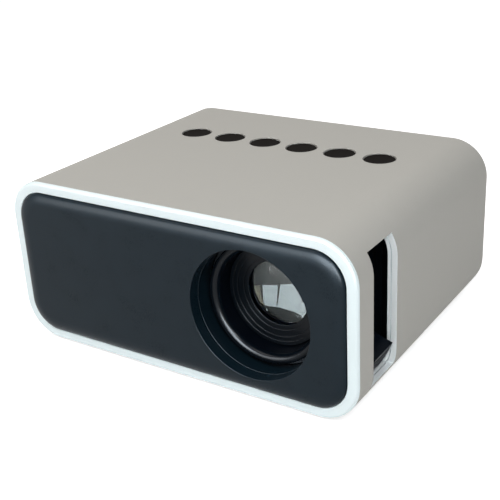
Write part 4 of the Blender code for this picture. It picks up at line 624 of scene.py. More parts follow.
def make(name, shapes, material):
    """Join shapes into one new object."""
    mesh = bpy.data.meshes.new(name)
    whole = bmesh.new()
    for shape in shapes:
        bmesh.ops.recalc_face_normals(shape, faces=shape.faces)
        shape.to_mesh(mesh)
        whole.from_mesh(mesh)
        shape.free()
    whole.to_mesh(mesh)
    whole.free()
    mesh.materials.append(material)
    piece = bpy.data.objects.new(name, mesh)
    bpy.context.scene.collection.objects.link(piece)
    return piece


def carve(piece, shapes, material=None, operation="DIFFERENCE"):
    """Cut shapes out of a piece, or add them. The cut faces take the material given."""
    tool = make("carving_tool", shapes, material or piece.data.materials[0])
    modifier = piece.modifiers.new("carve", "BOOLEAN")
    modifier.operation = operation
    modifier.object = tool
    modifier.solver = "EXACT"
    modifier.material_mode = "TRANSFER"
    bpy.context.view_layer.update()
    done = piece.evaluated_get(bpy.context.evaluated_depsgraph_get())
    mesh = bpy.data.meshes.new_from_object(done)
    piece.modifiers.clear()
    piece.data, old = mesh, piece.data
    bpy.data.meshes.remove(old)
    tool_mesh = tool.data
    bpy.data.objects.remove(tool)
    bpy.data.meshes.remove(tool_mesh)


def join(piece, shapes):
    carve(piece, shapes, operation="UNION")


def soften(piece, chosen, radius, steps=2):
    """Round the edges of a finished piece for which chosen(edge) is true."""
    shape = bmesh.new()
    shape.from_mesh(piece.data)
    round_edges(shape, chosen, radius, steps)
    shape.to_mesh(piece.data)
    shape.free()


def dress(piece, body, slot, *replaced):
    """Smooth a piece, tie it to its body and hide the CAD parts it stands for."""
    piece.data.shade_smooth()
    piece.data.set_sharp_from_angle(angle=SHARP_ANGLE)
    normals = piece.modifiers.new("even_normals", "WEIGHTED_NORMAL")
    normals.keep_sharp = True
    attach(piece, body)
    if replaced:
        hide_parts(*replaced)


def corners(node):
    """The low and high corners of a CAD node's box, each as x, depth and height."""
    return [(corner.x, corner.y - FRONT_Y, corner.z - BASE_Z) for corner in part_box(node)]


def middle(node):
    """The middle of a CAD node's box as x, depth and height."""
    low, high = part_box(node)
    centre = (low + high) / 2
    return centre.x, centre.y - FRONT_Y, centre.z - BASE_Z


def sound_cutters():
    """The round-ended slots under the speaker."""
    x, depth, _ = middle("speaker")
    half = SOUND_WIDTH / 2
    return [
        slot_block((place - half, depth - SOUND_LENGTH / 2, -PAST),
                   (place + half, depth + SOUND_LENGTH / 2, SOUND_CUT), 2, half - NEAR)
        for place in row(x, SOUND_COUNT, SOUND_PITCH)]


def intake_cutters():
    """The round-ended cooling slots in the left wall."""
    base = (BODY_HEIGHT - INTAKE_HEIGHT) / 2
    outer = -BODY_WIDTH / 2
    return [
        slot_block(
            (outer - PAST, depth, base),
            (outer + INTAKE_CUT, depth + INTAKE_WIDTH, base + INTAKE_HEIGHT),
            0, INTAKE_WIDTH / 2 - NEAR)
        for depth in (INTAKE_FRONT + index * INTAKE_PITCH for index in range(INTAKE_COUNT))]


def sleeve(paint, core):
    """White plastic, painted grey outside: its cut edges and its inside stay white."""
    shell = body_block(0, SLEEVE_FRONT, BODY_DEPTH, CORNER)
    round_edges(shell, lies_at(1, FRONT_Y + BODY_DEPTH), REAR_ROUNDING, 8)
    round_edges(shell, lies_at(1, FRONT_Y + SLEEVE_FRONT), SLEEVE_EDGE, 2)
    piece = make("sleeve", [shell], paint)
    rim_front = BODY_DEPTH - REAR_RIM_DEPTH
    carve(piece, [body_block(WALL, SLEEVE_FRONT - PAST, rim_front, CORNER - WALL)], core)
    carve(piece, [body_block(REAR_RIM, rim_front - PAST, BODY_DEPTH + PAST, CORNER - REAR_RIM)],
          core)
    top_inner = BODY_HEIGHT - WALL
    board_top = corners("key_board")[1][2]
    screws = [middle(f"key_board_screw_{index}")[:2] for index in (1, 2)]
    join(piece, [
        upright(rod(KEY_BOSS_RADIUS, board_top + SEAT, top_inner + KEY_BOSS_SUNK), *screw)
        for screw in screws])
    lip = fillet((BUTTON_HOLE_RADIUS + HOLE_LIP, BODY_HEIGHT - HOLE_LIP), HOLE_LIP, 180, 90)
    hole = [(0, top_inner - PAST), (BUTTON_HOLE_RADIUS, top_inner - PAST), *lip,
            (BUTTON_HOLE_RADIUS + HOLE_LIP, BODY_HEIGHT + PAST), (0, BODY_HEIGHT + PAST)]
    carve(piece, [upright(hole, *middle(f"top_button_{index + 1}")[:2])
                  for index in range(BUTTON_COUNT)])
    cuts = [upright(rod(KEY_PILOT_RADIUS, board_top - PAST, board_top + KEY_PILOT_DEPTH), *screw,
                    SMALL_STEPS)
            for screw in screws]
    cuts += [upright(rod(FOOT_HOLE_RADIUS, -PAST, FOOT_RECESS), *middle(node)[:2])
             for node in FEET]
    flange, nut, seat = (
        size + SEAT for size in (INSERT_FLANGE_RADIUS, INSERT_BODY_RADIUS, INSERT_FLANGE))
    cuts.append(upright(
        [(0, -PAST), (flange, -PAST), (flange, seat), (nut, seat), (nut, INSERT_CUT),
         (0, INSERT_CUT)], *middle("tripod_insert")[:2]))
    carve(piece, cuts + intake_cutters() + sound_cutters(), core)
    carve(piece, [block(SLOT_LOW, SLOT_HIGH)], core)
    dress(piece, "housing", "grey_shell", "outer_sleeve")


def white_frame(plastic, core):
    """The white ring round the front, its ledge and the liner behind it."""
    ring = body_block(0, 0, FRAME_BAND, CORNER)
    round_edges(ring, lies_at(1, FRONT_Y), FRAME_ROUNDING, 6)
    piece = make("white_frame", [ring], plastic)
    join(piece, [body_block(LINER_OUTER, FRAME_BAND / 2, LINER_DEPTH, CORNER - LINER_OUTER)])
    carve(piece, [body_block(FRAME_MARGIN, -PAST, LEDGE_FRONT, OPENING_CORNER)])
    soften(piece, lambda edge: lies_at(1, FRONT_Y)(edge) and all(
        abs(vert.co.x) < BODY_WIDTH / 2 - FRAME_FACE
        and abs(vert.co.z - BASE_Z - BODY_HEIGHT / 2) < BODY_HEIGHT / 2 - FRAME_FACE
        for vert in edge.verts), FRAME_LIP, 3)
    carve(piece, [body_block(LEDGE_INNER, 0, LEDGE_REAR + PAST, LEDGE_CORNER)])
    carve(piece, [body_block(LINER_INNER, LEDGE_REAR, LINER_DEPTH + PAST, CORNER - LINER_INNER)])
    carve(piece, [block(SLOT_LOW, SLOT_HIGH), *sound_cutters()], core)
    dress(piece, "housing", "white_frame", "front_frame")


def black_panel(plastic):
    """The pillowed panel with its rolled border, the lens opening and the collar."""
    shape = body_block(PANEL_INSET, 0, PANEL_BACK, PANEL_CORNER)
    face = min(shape.faces, key=lambda face: face.calc_center_median().y)
    reach = rise = 0.0
    for step in range(1, PANEL_ROLL_STEPS + 1):
        angle = math.pi / 2 * step / PANEL_ROLL_STEPS
        along = PANEL_ROLL * (1 - math.cos(angle))
        up = PANEL_PROUD * math.sin(angle)
        bmesh.ops.inset_region(
            shape, faces=[face], thickness=along - reach, depth=up - rise, use_even_offset=True)
        reach, rise = along, up
    piece = make("black_panel", [shape], plastic)
    join(piece, [turned(rod(COLLAR_OUTER, 0, COLLAR_DEPTH), closed=False)])
    front = -PANEL_PROUD - PAST
    lip = fillet((LENS_HOLE_RADIUS + LENS_HOLE_ROUNDING, LENS_HOLE_ROUNDING - PANEL_PROUD),
                 LENS_HOLE_ROUNDING, 270, 180, 6)
    carve(piece, [turned(
        [(0, front), (LENS_HOLE_RADIUS + LENS_HOLE_ROUNDING, front), *lip,
         *fillet((LENS_HOLE_RADIUS, LENS_HOLE_DEPTH - 2 * LENS_HOLE_BEAD), LENS_HOLE_BEAD,
                 -90, -270, 8),
         (LENS_HOLE_RADIUS, LENS_HOLE_DEPTH),
         (COLLAR_INNER, LENS_HOLE_DEPTH), (COLLAR_INNER, COLLAR_DEPTH + PAST),
         (0, COLLAR_DEPTH + PAST)], closed=False)])
    dress(piece, "housing", "black_panel", "front_panel")


def barrel(plastic, paint):
    """The lens barrel: its bezel, the funnelled mouth and the painted bores behind it."""
    profile = [(BARREL_RADIUS, BARREL_FRONT + BEZEL_THICKNESS),
               (BEZEL_RADIUS, BARREL_FRONT + BEZEL_THICKNESS)]
    profile += fillet((BEZEL_RADIUS - BEZEL_EDGE, BARREL_FRONT + BEZEL_EDGE), BEZEL_EDGE, 0, -90, 6)
    profile += fillet((MOUTH_RADIUS + FUNNEL, BARREL_FRONT + FUNNEL), FUNNEL, 270, 180, 16)
    profile += [
        (MOUTH_RADIUS, GLASS_SHOULDER), (GLASS_SEAT, GLASS_SHOULDER), (GLASS_SEAT, STOP_FRONT),
        (STOP_RADIUS, STOP_FRONT), (STOP_RADIUS, STOP_REAR), (REAR_BORE, STOP_REAR),
        (REAR_BORE, BARREL_REAR), (BARREL_RADIUS, BARREL_REAR)]
    piece = make("barrel", [turned(profile)], plastic)
    join(piece, [guide_pin(angle) for angle in PIN_ANGLES])
    piece.data.materials.append(paint)
    for face in piece.data.polygons:
        reach = Vector((face.center.x - LENS_X, face.center.z - BASE_Z - LENS_HEIGHT)).length
        if reach < MOUTH_RADIUS + NEAR and face.center.y > FRONT_Y + BARREL_FRONT + FUNNEL:
            face.material_index = 1
    dress(piece, "barrel", "black_plastic", "lens_barrel")


def lens_ring(plastic):
    """The ring that holds the front glass, with steps that go down to it."""
    radius = RETAINER_RADIUS - RETAINER_EDGE
    depth = RETAINER_FRONT
    soft = RETAINER_FILLET
    profile = [(RETAINER_RADIUS, depth + soft), (RETAINER_RADIUS - soft, depth)]
    for width in RETAINER_STEPS:
        profile += fillet((radius + soft, depth + soft), soft, 270, 180, 4)
        depth += RETAINER_STEP_HEIGHT
        profile.append((radius, depth))
        radius -= width
    profile += fillet((radius + soft, depth + soft), soft, 270, 180, 4)
    profile += [(radius, depth + RETAINER_STEP_HEIGHT), (GLASS_RADIUS, RETAINER_REAR),
                (RETAINER_RADIUS, RETAINER_REAR)]
    dress(make("lens_ring", [turned(profile)], plastic), "barrel", "black_plastic",
          "lens_retaining_ring")


def dome(radius, edge, curve, way, steps=20):
    """Radius and depth points over a spherical face, from the axis to its edge."""
    sag = curve - math.sqrt(curve ** 2 - radius ** 2)
    points = []
    for step in range(steps + 1):
        reach = radius * step / steps
        fall = curve - math.sqrt(curve ** 2 - reach ** 2)
        points.append((reach, edge - way * (sag - fall)))
    return points


def front_glass(glass):
    """The domed front glass, with a small ground edge."""
    profile = dome(GLASS_RADIUS - GLASS_BEVEL, FRONT_GLASS_EDGE, FRONT_GLASS_CURVE, 1)
    profile += [(GLASS_RADIUS, FRONT_GLASS_EDGE + GLASS_BEVEL), (GLASS_RADIUS, FRONT_GLASS_REAR),
                (0, FRONT_GLASS_REAR)]
    dress(make("front_glass", [turned(profile, closed=False)], glass), "barrel", "clear_glass",
          "front_lens")


def inner_glass(name, node, profile, glass):
    """One of the lenses behind the stop."""
    dress(make(name, [turned(profile, closed=False)], glass), "barrel", "clear_glass", node)


def curve_of(radius, rise):
    """The radius of a sphere that rises by rise over a disc of radius."""
    return (radius ** 2 + rise ** 2) / (2 * rise)


def inner_lenses(coated, bare):
    """The thin hollow lens behind the stop and the deep hollow lens behind it."""
    radius = REAR_GLASS_RADIUS
    hollow = curve_of(radius, MIDDLE_GLASS_HOLLOW)
    inner_glass("middle_glass", "middle_lens", [
        *dome(radius, MIDDLE_GLASS_FRONT, hollow, -1),
        *reversed(dome(radius, MIDDLE_GLASS_REAR, hollow, 1))], coated)
    inner_glass("rear_glass", "rear_lens", [
        *dome(radius, REAR_GLASS_FRONT, curve_of(radius, REAR_GLASS_HOLLOW), -1),
        *reversed(dome(radius, REAR_GLASS_REAR, curve_of(radius, REAR_GLASS_BULGE), -1))], bare)


def about_lens(shape, angle):
    """Turn a shape about the lens axis. A positive angle lifts what lies at +X."""
    bmesh.ops.rotate(
        shape, cent=at(LENS_X, 0, LENS_HEIGHT), matrix=Matrix.Rotation(-angle, 3, "Y"),
        verts=shape.verts)
    return shape


def guide_pin(angle):
    """A pin of the barrel that runs in the ring's groove."""
    length = PIN_TIP - BARREL_RADIUS + PAST
    shape = bmesh.new()
    bmesh.ops.create_cone(
        shape, cap_ends=True, segments=SMALL_STEPS, radius1=PIN_RADIUS, radius2=PIN_RADIUS,
        depth=length)
    bmesh.ops.rotate(shape, matrix=Matrix.Rotation(math.pi / 2, 3, "Y"), verts=shape.verts)
    bmesh.ops.translate(
        shape, vec=at(LENS_X + PIN_TIP - length / 2, PIN_DEPTH, LENS_HEIGHT), verts=shape.verts)
    return about_lens(shape, angle)


def ring_groove(angle):
    """The slanted groove that drives a pin forward as the ring turns."""
    margin = 2 * GROOVE_HALF_WIDTH / GROOVE_BOTTOM
    rise = FOCUS_TRAVEL / FOCUS_TURN
    sweep = FOCUS_TURN + 2 * margin
    depth = PIN_DEPTH + rise * margin
    shape = bmesh.new()
    verts = [
        shape.verts.new(at(LENS_X + radius, depth + side * GROOVE_HALF_WIDTH, LENS_HEIGHT))
        for radius, side in (
            (RING_INNER - PAST, -1), (GROOVE_BOTTOM, -1), (GROOVE_BOTTOM, 1),
            (RING_INNER - PAST, 1))]
    edges = [shape.edges.new(pair) for pair in zip(verts, verts[1:] + verts[:1])]
    bmesh.ops.spin(
        shape, geom=verts + edges, cent=at(LENS_X, 0, LENS_HEIGHT), axis=(0, 1, 0), angle=sweep,
        steps=GROOVE_STEPS, dvec=(0, -rise * sweep / GROOVE_STEPS, 0))
    bmesh.ops.holes_fill(shape, edges=shape.edges)
    return about_lens(shape, angle + margin)


def split_ring(steel):
    """The blackened spring clip that holds the focus ring on its tube."""
    (left, front, _), (right, rear, _) = corners("ring_clip")
    outer = (right - left) / 2
    profile = washer(outer - CLIP_WIDTH, outer, front, rear, CLIP_EDGE)
    piece = make("split_ring", [turned(profile)], steel)
    half = CLIP_MOUTH / 2
    carve(piece, [block((LENS_X - half, front - PAST, LENS_HEIGHT),
                        (LENS_X + half, rear + PAST, LENS_HEIGHT + outer + PAST))])
    ears = math.atan2(half + CLIP_WIDTH, outer)
    middle_radius = outer - CLIP_WIDTH / 2
    carve(piece, [
        turned(rod(CLIP_HOLE, front - PAST, rear + PAST), SMALL_STEPS, False,
               LENS_X + side * middle_radius * math.sin(ears),
               LENS_HEIGHT + middle_radius * math.cos(ears))
        for side in (-1, 1)])
    dress(piece, "housing", "steel", "ring_clip")


def paddle():
    """The thumb paddle, with ridges along its outer face."""
    valley = PADDLE_REACH - PADDLE_RIDGE_HEIGHT
    sweep = (PADDLE_TOP - PADDLE_BOTTOM) / PADDLE_RIDGES
    points = [(RING_OUTER - PAST, PADDLE_BOTTOM)]
    for index in range(PADDLE_RIDGES):
        start = PADDLE_BOTTOM + index * sweep
        crest = start + sweep * PADDLE_RIDGE_SHARE
        if index == PADDLE_RIDGES - 1:
            points += [(PADDLE_REACH, start), (PADDLE_REACH, PADDLE_TOP)]
        else:
            points += [(PADDLE_REACH, start), (PADDLE_REACH, crest), (valley, crest),
                       (valley, start + sweep)]
    points.append((RING_OUTER - PAST, PADDLE_TOP))
    shape = bmesh.new()
    face = shape.faces.new([
        shape.verts.new(at(LENS_X + radius * math.cos(angle), RING_FRONT,
                           LENS_HEIGHT + radius * math.sin(angle)))
        for radius, angle in points])
    made = bmesh.ops.extrude_face_region(shape, geom=[face])["geom"]
    bmesh.ops.translate(
        shape, vec=(0, RING_REAR - RING_FRONT, 0),
        verts=[vert for vert in made if isinstance(vert, bmesh.types.BMVert)])
    inner = at(LENS_X, 0, LENS_HEIGHT)
    return round_edges(shape, lambda edge: all(
        Vector((vert.co.x - inner.x, vert.co.z - inner.z)).length > RING_OUTER
        for vert in edge.verts), PADDLE_EDGE, 2)


def focus_ring(plastic):
    """The ring with its thumb paddle and three slanted grooves."""
    profile = washer(RING_INNER, RING_OUTER, RING_FRONT, RING_REAR, RING_EDGE)
    piece = make("thumb_ring", [turned(profile)], plastic)
    join(piece, [paddle()])
    carve(piece, [ring_groove(angle) for angle in PIN_ANGLES])
    dress(piece, "focus_ring", "black_plastic", "focus_ring")


def buttons(rubber):
    """The six dished soft keys, each with its flange and stem under the sleeve's top."""
    flange_top = BODY_HEIGHT - WALL - SEAT
    flange_base = flange_top - BUTTON_FLANGE
    for index in range(BUTTON_COUNT):
        node = f"top_button_{index + 1}"
        (_, _, base), (_, _, top) = corners(node)
        x, depth, _ = middle(node)
        dish = [
            (BUTTON_RADIUS * share, top - BUTTON_DISH * (1 - share ** 2))
            for share in (0, 0.2, 0.4, 0.6, 0.8)]
        edge = fillet((BUTTON_RADIUS - BUTTON_EDGE, top - BUTTON_EDGE), BUTTON_EDGE, 90, 0, 5)
        shape = upright([
            *dish, *edge, (BUTTON_RADIUS, flange_top), (BUTTON_FLANGE_RADIUS, flange_top),
            (BUTTON_FLANGE_RADIUS, flange_base), (BUTTON_STEM_RADIUS, flange_base),
            (BUTTON_STEM_RADIUS, base), (0, base)], x, depth)
        dress(make(f"soft_key_{index + 1}", [shape], rubber), f"button_{index + 1}",
              "dark_button", node)


def feet(rubber):
    """Round rubber feet with two rings pressed into their soles."""
    for node in FEET:
        (_, _, sole), (_, _, top) = corners(node)
        x, depth, _ = middle(node)
        profile = [(0, sole)]
        for radius in FOOT_RINGS:
            profile += [
                (radius - FOOT_GROOVE, sole), (radius, sole + FOOT_GROOVE),
                (radius + FOOT_GROOVE, sole)]
        profile += fillet((FOOT_RADIUS - FOOT_ROUNDING, sole + FOOT_ROUNDING), FOOT_ROUNDING,
                          -90, 0)
        profile += [(FOOT_RADIUS, top), (0, top)]
        dress(make(f"rubber_{node}", [upright(profile, x, depth)], rubber), "housing", "rubber",
              node)


def tripod_nut(brass):
    """The nut in the base, with a camera screw thread in its bore."""
    (_, _, base), (_, _, top) = corners("tripod_insert")
    x, depth, _ = middle("tripod_insert")
    soft = INSERT_ROUNDING
    profile = [(INSERT_BORE + soft, base)]
    profile += fillet((INSERT_FLANGE_RADIUS - soft, base + soft), soft, -90, 0)
    profile += [
        (INSERT_FLANGE_RADIUS, base + INSERT_FLANGE), (INSERT_BODY_RADIUS, base + INSERT_FLANGE),
        (INSERT_BODY_RADIUS, top), (INSERT_BORE, top), (INSERT_BORE, base + soft)]
    dress(make("tripod_nut", [upright(profile, x, depth, closed=True)], brass), "housing",
          "brass", "tripod_insert")
    turns = (top - base - 2 * soft) / THREAD_PITCH - 1
    steps = int(THREAD_STEPS * turns)
    centre = at(x, depth, base + soft)
    half = THREAD_PITCH * THREAD_SHARE
    thread = bmesh.new()
    verts = [
        thread.verts.new(at(x + radius, depth, base + soft + half + height))
        for radius, height in (
            (INSERT_BORE + THREAD_SUNK, -half), (INSERT_BORE + THREAD_SUNK, half),
            (INSERT_BORE - THREAD_RISE, 0))]
    edges = [thread.edges.new(pair) for pair in zip(verts, verts[1:] + verts[:1])]
    bmesh.ops.spin(
        thread, geom=verts + edges, cent=centre, axis=(0, 0, 1), angle=math.tau * turns,
        steps=steps, dvec=(0, 0, THREAD_PITCH * turns / steps))
    bmesh.ops.holes_fill(thread, edges=thread.edges)
    dress(make("tripod_thread", [thread], brass), "housing", "brass")


def port_cutters():
    """The ports of the rear cover: a straight hole behind a chamfered mouth."""
    holes = []
    mouths = []
    for node in ("hdmi_socket", "usb_socket", "card_slot", "av_socket", "power_socket"):
        (left, _, base), (right, _, top) = corners(node)
        left, base = left - SOCKET_CLEARANCE, base - SOCKET_CLEARANCE
        right, top = right + SOCKET_CLEARANCE, top + SOCKET_CLEARANCE
        holes.append(block((left, COVER_BACK - PAST, base), (right, COVER_OUTER + PAST, top)))
        mouth = block((left, COVER_OUTER - PORT_CHAMFER, base), (right, COVER_OUTER + PAST, top))
        outer = max(mouth.faces, key=lambda face: face.calc_center_median().y)
        centre = outer.calc_center_median()
        reach = 2 * (PAST + PORT_CHAMFER)
        bmesh.ops.scale(
            mouth, vec=(1 + reach / (right - left), 1, 1 + reach / (top - base)),
            space=Matrix.Translation(-centre), verts=outer.verts)
        mouths.append(mouth)
    return holes, mouths


def rear_cover(plastic):
    """The black plate in the rear opening, with its ports, cooling slots and screw seats."""
    flange = body_block(COVER_FLANGE_INSET, COVER_BACK, COVER_SHOULDER,
                        CORNER - COVER_FLANGE_INSET)
    piece = make("rear_plate", [flange], plastic)
    face = body_block(COVER_INSET, COVER_BACK + COVER_OVERLAP, COVER_OUTER, CORNER - COVER_INSET)
    round_edges(face, lies_at(1, FRONT_Y + COVER_OUTER), COVER_EDGE)
    join(piece, [face])
    carve(piece, [
        body_block(COVER_POCKET, COVER_BACK - PAST, COVER_INNER, COVER_POCKET_CORNER)])
    holes, mouths = port_cutters()
    carve(piece, holes)
    for mouth in mouths:
        carve(piece, [mouth])
    half = VENT_WIDTH / 2
    carve(piece, [
        slot_block((x - half, COVER_BACK - PAST, LENS_HEIGHT - VENT_HEIGHT / 2),
                   (x + half, COVER_OUTER + PAST, LENS_HEIGHT + VENT_HEIGHT / 2), 1, half - NEAR)
        for x in row(LENS_X, VENT_COUNT, VENT_PITCH)])
    shank, head = SCREW_RADIUS + SOCKET_CLEARANCE, SCREW_HEAD_RADIUS + SOCKET_CLEARANCE
    seats = []
    for index in range(SCREW_COUNT):
        node = f"rear_screw_{index + 1}"
        x, _, height = middle(node)
        seat = corners(node)[1][1] - SCREW_HEAD - SEAT
        seats.append(turned([
            (0, COVER_BACK - PAST), (shank, COVER_BACK - PAST), (shank, seat), (head, seat),
            (head, COVER_OUTER - SCREW_CHAMFER), (head + SCREW_CHAMFER + PAST, COVER_OUTER + PAST),
            (0, COVER_OUTER + PAST)], HOLE_STEPS, False, x, height))
    carve(piece, seats)
    dress(piece, "housing", "black_plastic", "rear_cover")


def rear_screws(steel):
    """Pan head screws with a cross recess."""
    for index in range(SCREW_COUNT):
        node = f"rear_screw_{index + 1}"
        (_, tip, _), (_, outer, _) = corners(node)
        x, _, height = middle(node)
        edge = fillet((SCREW_HEAD_RADIUS - SCREW_EDGE, outer - SCREW_EDGE), SCREW_EDGE, 90, 0)
        profile = [
            (0, outer), *edge, (SCREW_HEAD_RADIUS, outer - SCREW_HEAD),
            (SCREW_RADIUS, outer - SCREW_HEAD), (SCREW_RADIUS, tip + SCREW_RADIUS),
            (0, tip)]
        piece = make(f"cover_screw_{index + 1}",
                     [turned(profile, SMALL_STEPS * 2, False, x, height)], steel)
        half = SCREW_CROSS / 2
        reach = SCREW_CROSS_REACH
        for wide, tall in ((reach, half), (half, reach)):
            carve(piece, [block((x - wide, outer - SCREW_CROSS_DEPTH, height - tall),
                                (x + wide, outer + PAST, height + tall))])
        dress(piece, "housing", "steel", node)


def socket_block(node, name, material, edge):
    """A socket's outer block, with the edges round its mouth softened, and its box."""
    low, high = corners(node)
    shape = round_edges(block(low, high), runs_along(1), edge)
    return make(name, [shape], material), low, high


def shell_socket(node, name, tongue, count, looks):
    """A sheet metal socket with a row of contacts, on a tongue where it has one."""
    piece, low, high = socket_block(node, name, looks["steel"], SHELL_EDGE)
    bottom = high[1] - SOCKET_CAVITY
    wall = SHELL_WALL if tongue else CARD_WALL
    carve(piece, [round_edges(
        block((low[0] + wall, bottom, low[2] + wall),
              (high[0] - wall, high[1] + PAST, high[2] - wall)), runs_along(1), SHELL_EDGE / 2)])
    dress(piece, "housing", "steel", node)
    if tongue:
        side, tip = wall + tongue, high[1] - tongue
        centre = (low[2] + high[2]) / 2
        tray = round_edges(
            block((low[0] + side, bottom - SOCKET_SUNK, centre - tongue / 2),
                  (high[0] - side, tip, centre + tongue / 2)), runs_along(0), TONGUE_EDGE)
        dress(make(f"{name}_tongue", [tray], looks["black_plastic"]), "housing",
              "black_plastic")
        start, end = low[0] + side + CONTACT_SIDE, high[0] - side - CONTACT_SIDE
        under, rear = centre - tongue / 2, tip - CONTACT_SETBACK
    else:
        start, end = low[0] + CARD_SIDE, high[0] - CARD_SIDE
        under, rear = low[2] + CARD_RISE, bottom + CARD_CONTACT
    pitch = (end - start) / count
    strips = []
    for index in range(count):
        left = start + (index + (1 - CONTACT_SHARE) / 2) * pitch
        strips.append(round_edges(
            block((left, bottom, under - CONTACT_RISE),
                  (left + CONTACT_SHARE * pitch, rear, under + CONTACT_SUNK)),
            runs_along(1), CONTACT_RISE / 2, 1))
    dress(make(f"{name}_contacts", strips, looks["brass"]), "housing", "brass")


def round_socket(node, name, bore, pin, looks):
    """A moulded socket with a round bore, a metal lining and a centre pin where it has one."""
    piece, _, (_, mouth, _) = socket_block(node, name, looks["black_plastic"], SOCKET_EDGE)
    x, _, height = middle(node)
    bottom = mouth - SOCKET_CAVITY
    carve(piece, [turned([
        (0, bottom), (bore, bottom), (bore, mouth - BORE_CHAMFER),
        (bore + BORE_CHAMFER + PAST, mouth + PAST), (0, mouth + PAST)], HOLE_STEPS, False, x,
        height)])
    dress(piece, "housing", "black_plastic", node)
    inner, outer, end = bore - LINING_WALL, bore + LINING_SUNK, mouth - LINING_SETBACK
    lining = [(inner, bottom), (outer, bottom), (outer, end), (inner, end)]
    dress(make(f"{name}_lining", [turned(lining, HOLE_STEPS, True, x, height)], looks["steel"]),
          "housing", "steel")
    if pin:
        root, tip = bottom - SOCKET_SUNK, mouth - PIN_SETBACK
        shape = turned([
            (0, root), (pin, root), *fillet((pin - PIN_EDGE, tip - PIN_EDGE), PIN_EDGE, 0, 90),
            (0, tip)], SMALL_STEPS, False, x, height)
        dress(make(f"{name}_pin", [shape], looks["steel"]), "housing", "steel")


def facing(azimuth, elevation):
    """The right, up and back directions of what faces the projector from there, in degrees."""
    azimuth, elevation = math.radians(azimuth), math.radians(elevation)
    back = Vector((
        math.sin(azimuth) * math.cos(elevation), -math.cos(azimuth) * math.cos(elevation),
        math.sin(elevation)))
    right = Vector((0, 0, 1)).cross(back).normalized()
    return right, back.cross(right), back


def set_up(name, data, axes, spot):
    """Put a camera or a lamp at a spot, with its right, up and back directions."""
    seat = bpy.data.objects.new(name, data)
    rows = [(*turns, place) for turns, place in zip(zip(*axes), spot)]
    seat.matrix_world = Matrix((*rows, (0, 0, 0, 1)))
    bpy.context.scene.collection.objects.link(seat)
    return seat


def camera():
    """The camera of the photograph, solved from the body's edges."""
    right, up, back = facing(CAMERA_AZIMUTH, CAMERA_ELEVATION)
    turn = Matrix.Rotation(math.radians(CAMERA_ROLL), 3, back)
    right, up = turn @ right, turn @ up
    lens = bpy.data.cameras.new("camera")
    lens.lens = CAMERA_LENS
    lens.sensor_width = 36.0
    lens.shift_x, lens.shift_y = CAMERA_SHIFT
    lens.clip_start = 10 * MM
    spot = (Vector(CAMERA_AIM) + at(0, 0, 0) - right * CAMERA_OFFSET.x - up * CAMERA_OFFSET.y
            - back * CAMERA_OFFSET.z)
    bpy.context.scene.camera = set_up("camera", lens, (right, up, back), spot)


def lamp(name, azimuth, elevation, distance, size, strength, colour, lights=True, in_glass=True):
    """An oblong lamp that faces the projector, with its strength as a radiance.

    One that doesn't light shows in reflections alone, and one that isn't in the glass shows
    on the outside alone.
    """
    light = bpy.data.lights.new(name, "AREA")
    light.shape = "RECTANGLE"
    light.size, light.size_y = size
    light.energy = strength * math.pi * size[0] * size[1]
    light.color = colour
    axes = facing(azimuth, elevation)
    seat = set_up(name, light, axes, Vector((0, 0, BODY_HEIGHT / 2)) + axes[2] * distance)
    seat.visible_diffuse = lights
    seat.visible_transmission = in_glass


def floor():
    """A plain white floor that keeps the projector's shadow, and is clear from below."""
    shape = bmesh.new()
    bmesh.ops.create_grid(shape, x_segments=1, y_segments=1, size=FLOOR_HALF)
    bmesh.ops.translate(shape, vec=(0, 0, -FLOOR_GAP), verts=shape.verts)
    finish = Finish("white_floor", (0.9, 0.9, 0.9), 0.9, Specular_IOR_Level=0.0,
                    Emission_Strength=1.0)
    finish.paint("Emission Color", finish.mixed(
        finish.seen_directly(), (0, 0, 0), (FLOOR_LIFT,) * 3))
    below = finish.node("NewGeometry", {}, {}, "Backfacing")
    clear = finish.node("BsdfTransparent", {}, {})
    solid = Value(finish, finish.shader.outputs["BSDF"])
    surface = finish.node("MixShader", {}, {0: below, 1: solid, 2: clear})
    finish.tree.links.new(
        surface.socket, finish.tree.nodes["Material Output"].inputs["Surface"])
    ground = make("white_floor", [shape], finish.material)


def surroundings():
    """Plain white all round, with a softer level of light on the projector."""
    world = bpy.data.worlds.new("white_room")
    bpy.context.scene.world = world
    world.use_nodes = True
    room = Graph(world.node_tree)
    colour = room.mixed(room.seen_directly(), (ROOM_LIGHT,) * 3, (1, 1, 1))
    room.tree.links.new(colour.socket, room.tree.nodes["Background"].inputs["Color"])


def finishes():
    """Every finish, under the record's slot names."""
    return {
        "grey_shell": moulded(
            "grey_paint", (0.455, 0.445, 0.412), 0.6, 0.35, 0.012, 0.03, 0.08),
        "white_frame": moulded("white_plastic", (0.79, 0.89, 0.905), 0.33, 0.6, 0.003, 0.01),
        "black_panel": moulded(
            "panel_plastic", (0.004, 0.011, 0.017), 0.3, 0.3, 0.002, 0.1, 0.1),
        "black_plastic": moulded(
            "black_plastic", (0.0025, 0.005, 0.0085), 0.22, 0.3, 0.002, 0.1, 0.12),
        "dark_button": moulded(
            "soft_key", (0.007, 0.0055, 0.0045), 0.7, 0.25, 0.02, 0.3, 0.02),
        "rubber": moulded("foot_rubber", (0.03, 0.03, 0.03), 0.8, 0.3, 0.02, 0.15),
        "steel": metal("plated_steel", (0.56, 0.57, 0.58), 0.3, (1, 8, 1)),
        "brass": turned_brass(),
        "aluminium": metal("bare_aluminium", (0.77, 0.78, 0.79), 0.4, (8, 8, 1)),
        "clear_glass": optical_glass("coated_glass", 0.0),
        "clear_acrylic": ringed_acrylic(),
        "panel_glass": picture_panel(),
        "green_board": circuit_board(),
        "chip_resin": moulded("chip_resin", (0.03, 0.03, 0.035), 0.5, 0.2, 0.02, 0.2),
        "amber_film": film_cable(),
        "paper": pressed_paper()}


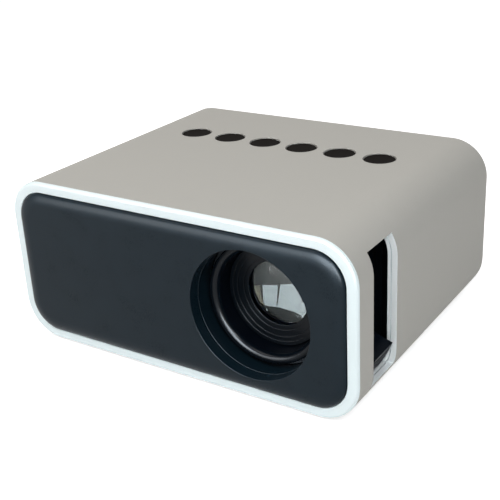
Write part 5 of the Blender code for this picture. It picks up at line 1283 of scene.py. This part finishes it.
looks = finishes()
for part in frame["record"]["subparts"]:
    nodes[part["node"]].material_slots[0].material = looks[part["material_slot"]]

core = moulded("white_core", (0.93, 0.97, 0.97), 0.4, 0.6, 0.003, 0.01)
lens_paint = moulded("lens_paint", (0.0015, 0.003, 0.006), 0.35, 0.3, 0.002, 0.1, 0.03)
sleeve(looks["grey_shell"], core)
white_frame(looks["white_frame"], core)
black_panel(looks["black_panel"])
barrel(looks["black_plastic"], lens_paint)
lens_ring(looks["black_plastic"])
front_glass(looks["clear_glass"])
inner_lenses(looks["clear_glass"], optical_glass("rear_glass", 1.0))
split_ring(metal("blackened_steel", (0.02, 0.022, 0.025), 0.5, (1, 8, 1)))
focus_ring(lens_paint)
buttons(looks["dark_button"])
feet(looks["rubber"])
tripod_nut(looks["brass"])
rear_cover(looks["black_plastic"])
rear_screws(looks["steel"])
shell_socket("hdmi_socket", "video_port", HDMI_TONGUE, 9, looks)
shell_socket("usb_socket", "data_port", USB_TONGUE, 4, looks)
shell_socket("card_slot", "card_port", 0, 8, looks)
round_socket("av_socket", "sound_jack", AV_BORE, 0, looks)
round_socket("power_socket", "power_jack", POWER_BORE, POWER_PIN, looks)

camera()
floor()
surroundings()
lamp("soft_key", -42, 60, 0.9, (0.6, 0.5), 4.1, (1.0, 0.955, 0.92))
lamp("window_high", 40, 40, 0.6, (0.16, 0.14), 18.5, DAYLIGHT)
lamp("window_left", -31.5, 13.5, 0.5, (0.24, 0.26), 12.0, DAYLIGHT, lights=False)
lamp("window_shine", 27, 14, 0.5, (0.15, 0.26), 30.0, SKYLIGHT, False, False)
lamp("middle_shine", 2, 14, 0.5, (0.2, 0.26), 20.0, SKYLIGHT, False, False)
lamp("pane_right", 25, 13.5, 0.5, (0.17, 0.26), 22.0, DAYLIGHT, lights=False)
lamp("pane_middle", -1.5, 13.5, 0.5, (0.25, 0.26), 22.0, DAYLIGHT, lights=False)
lamp("curtain", 44, 13.5, 0.5, (0.12, 0.26), 4.0, (1.0, 0.86, 0.66), lights=False)
bpy.context.scene.view_settings.view_transform = "Standard"
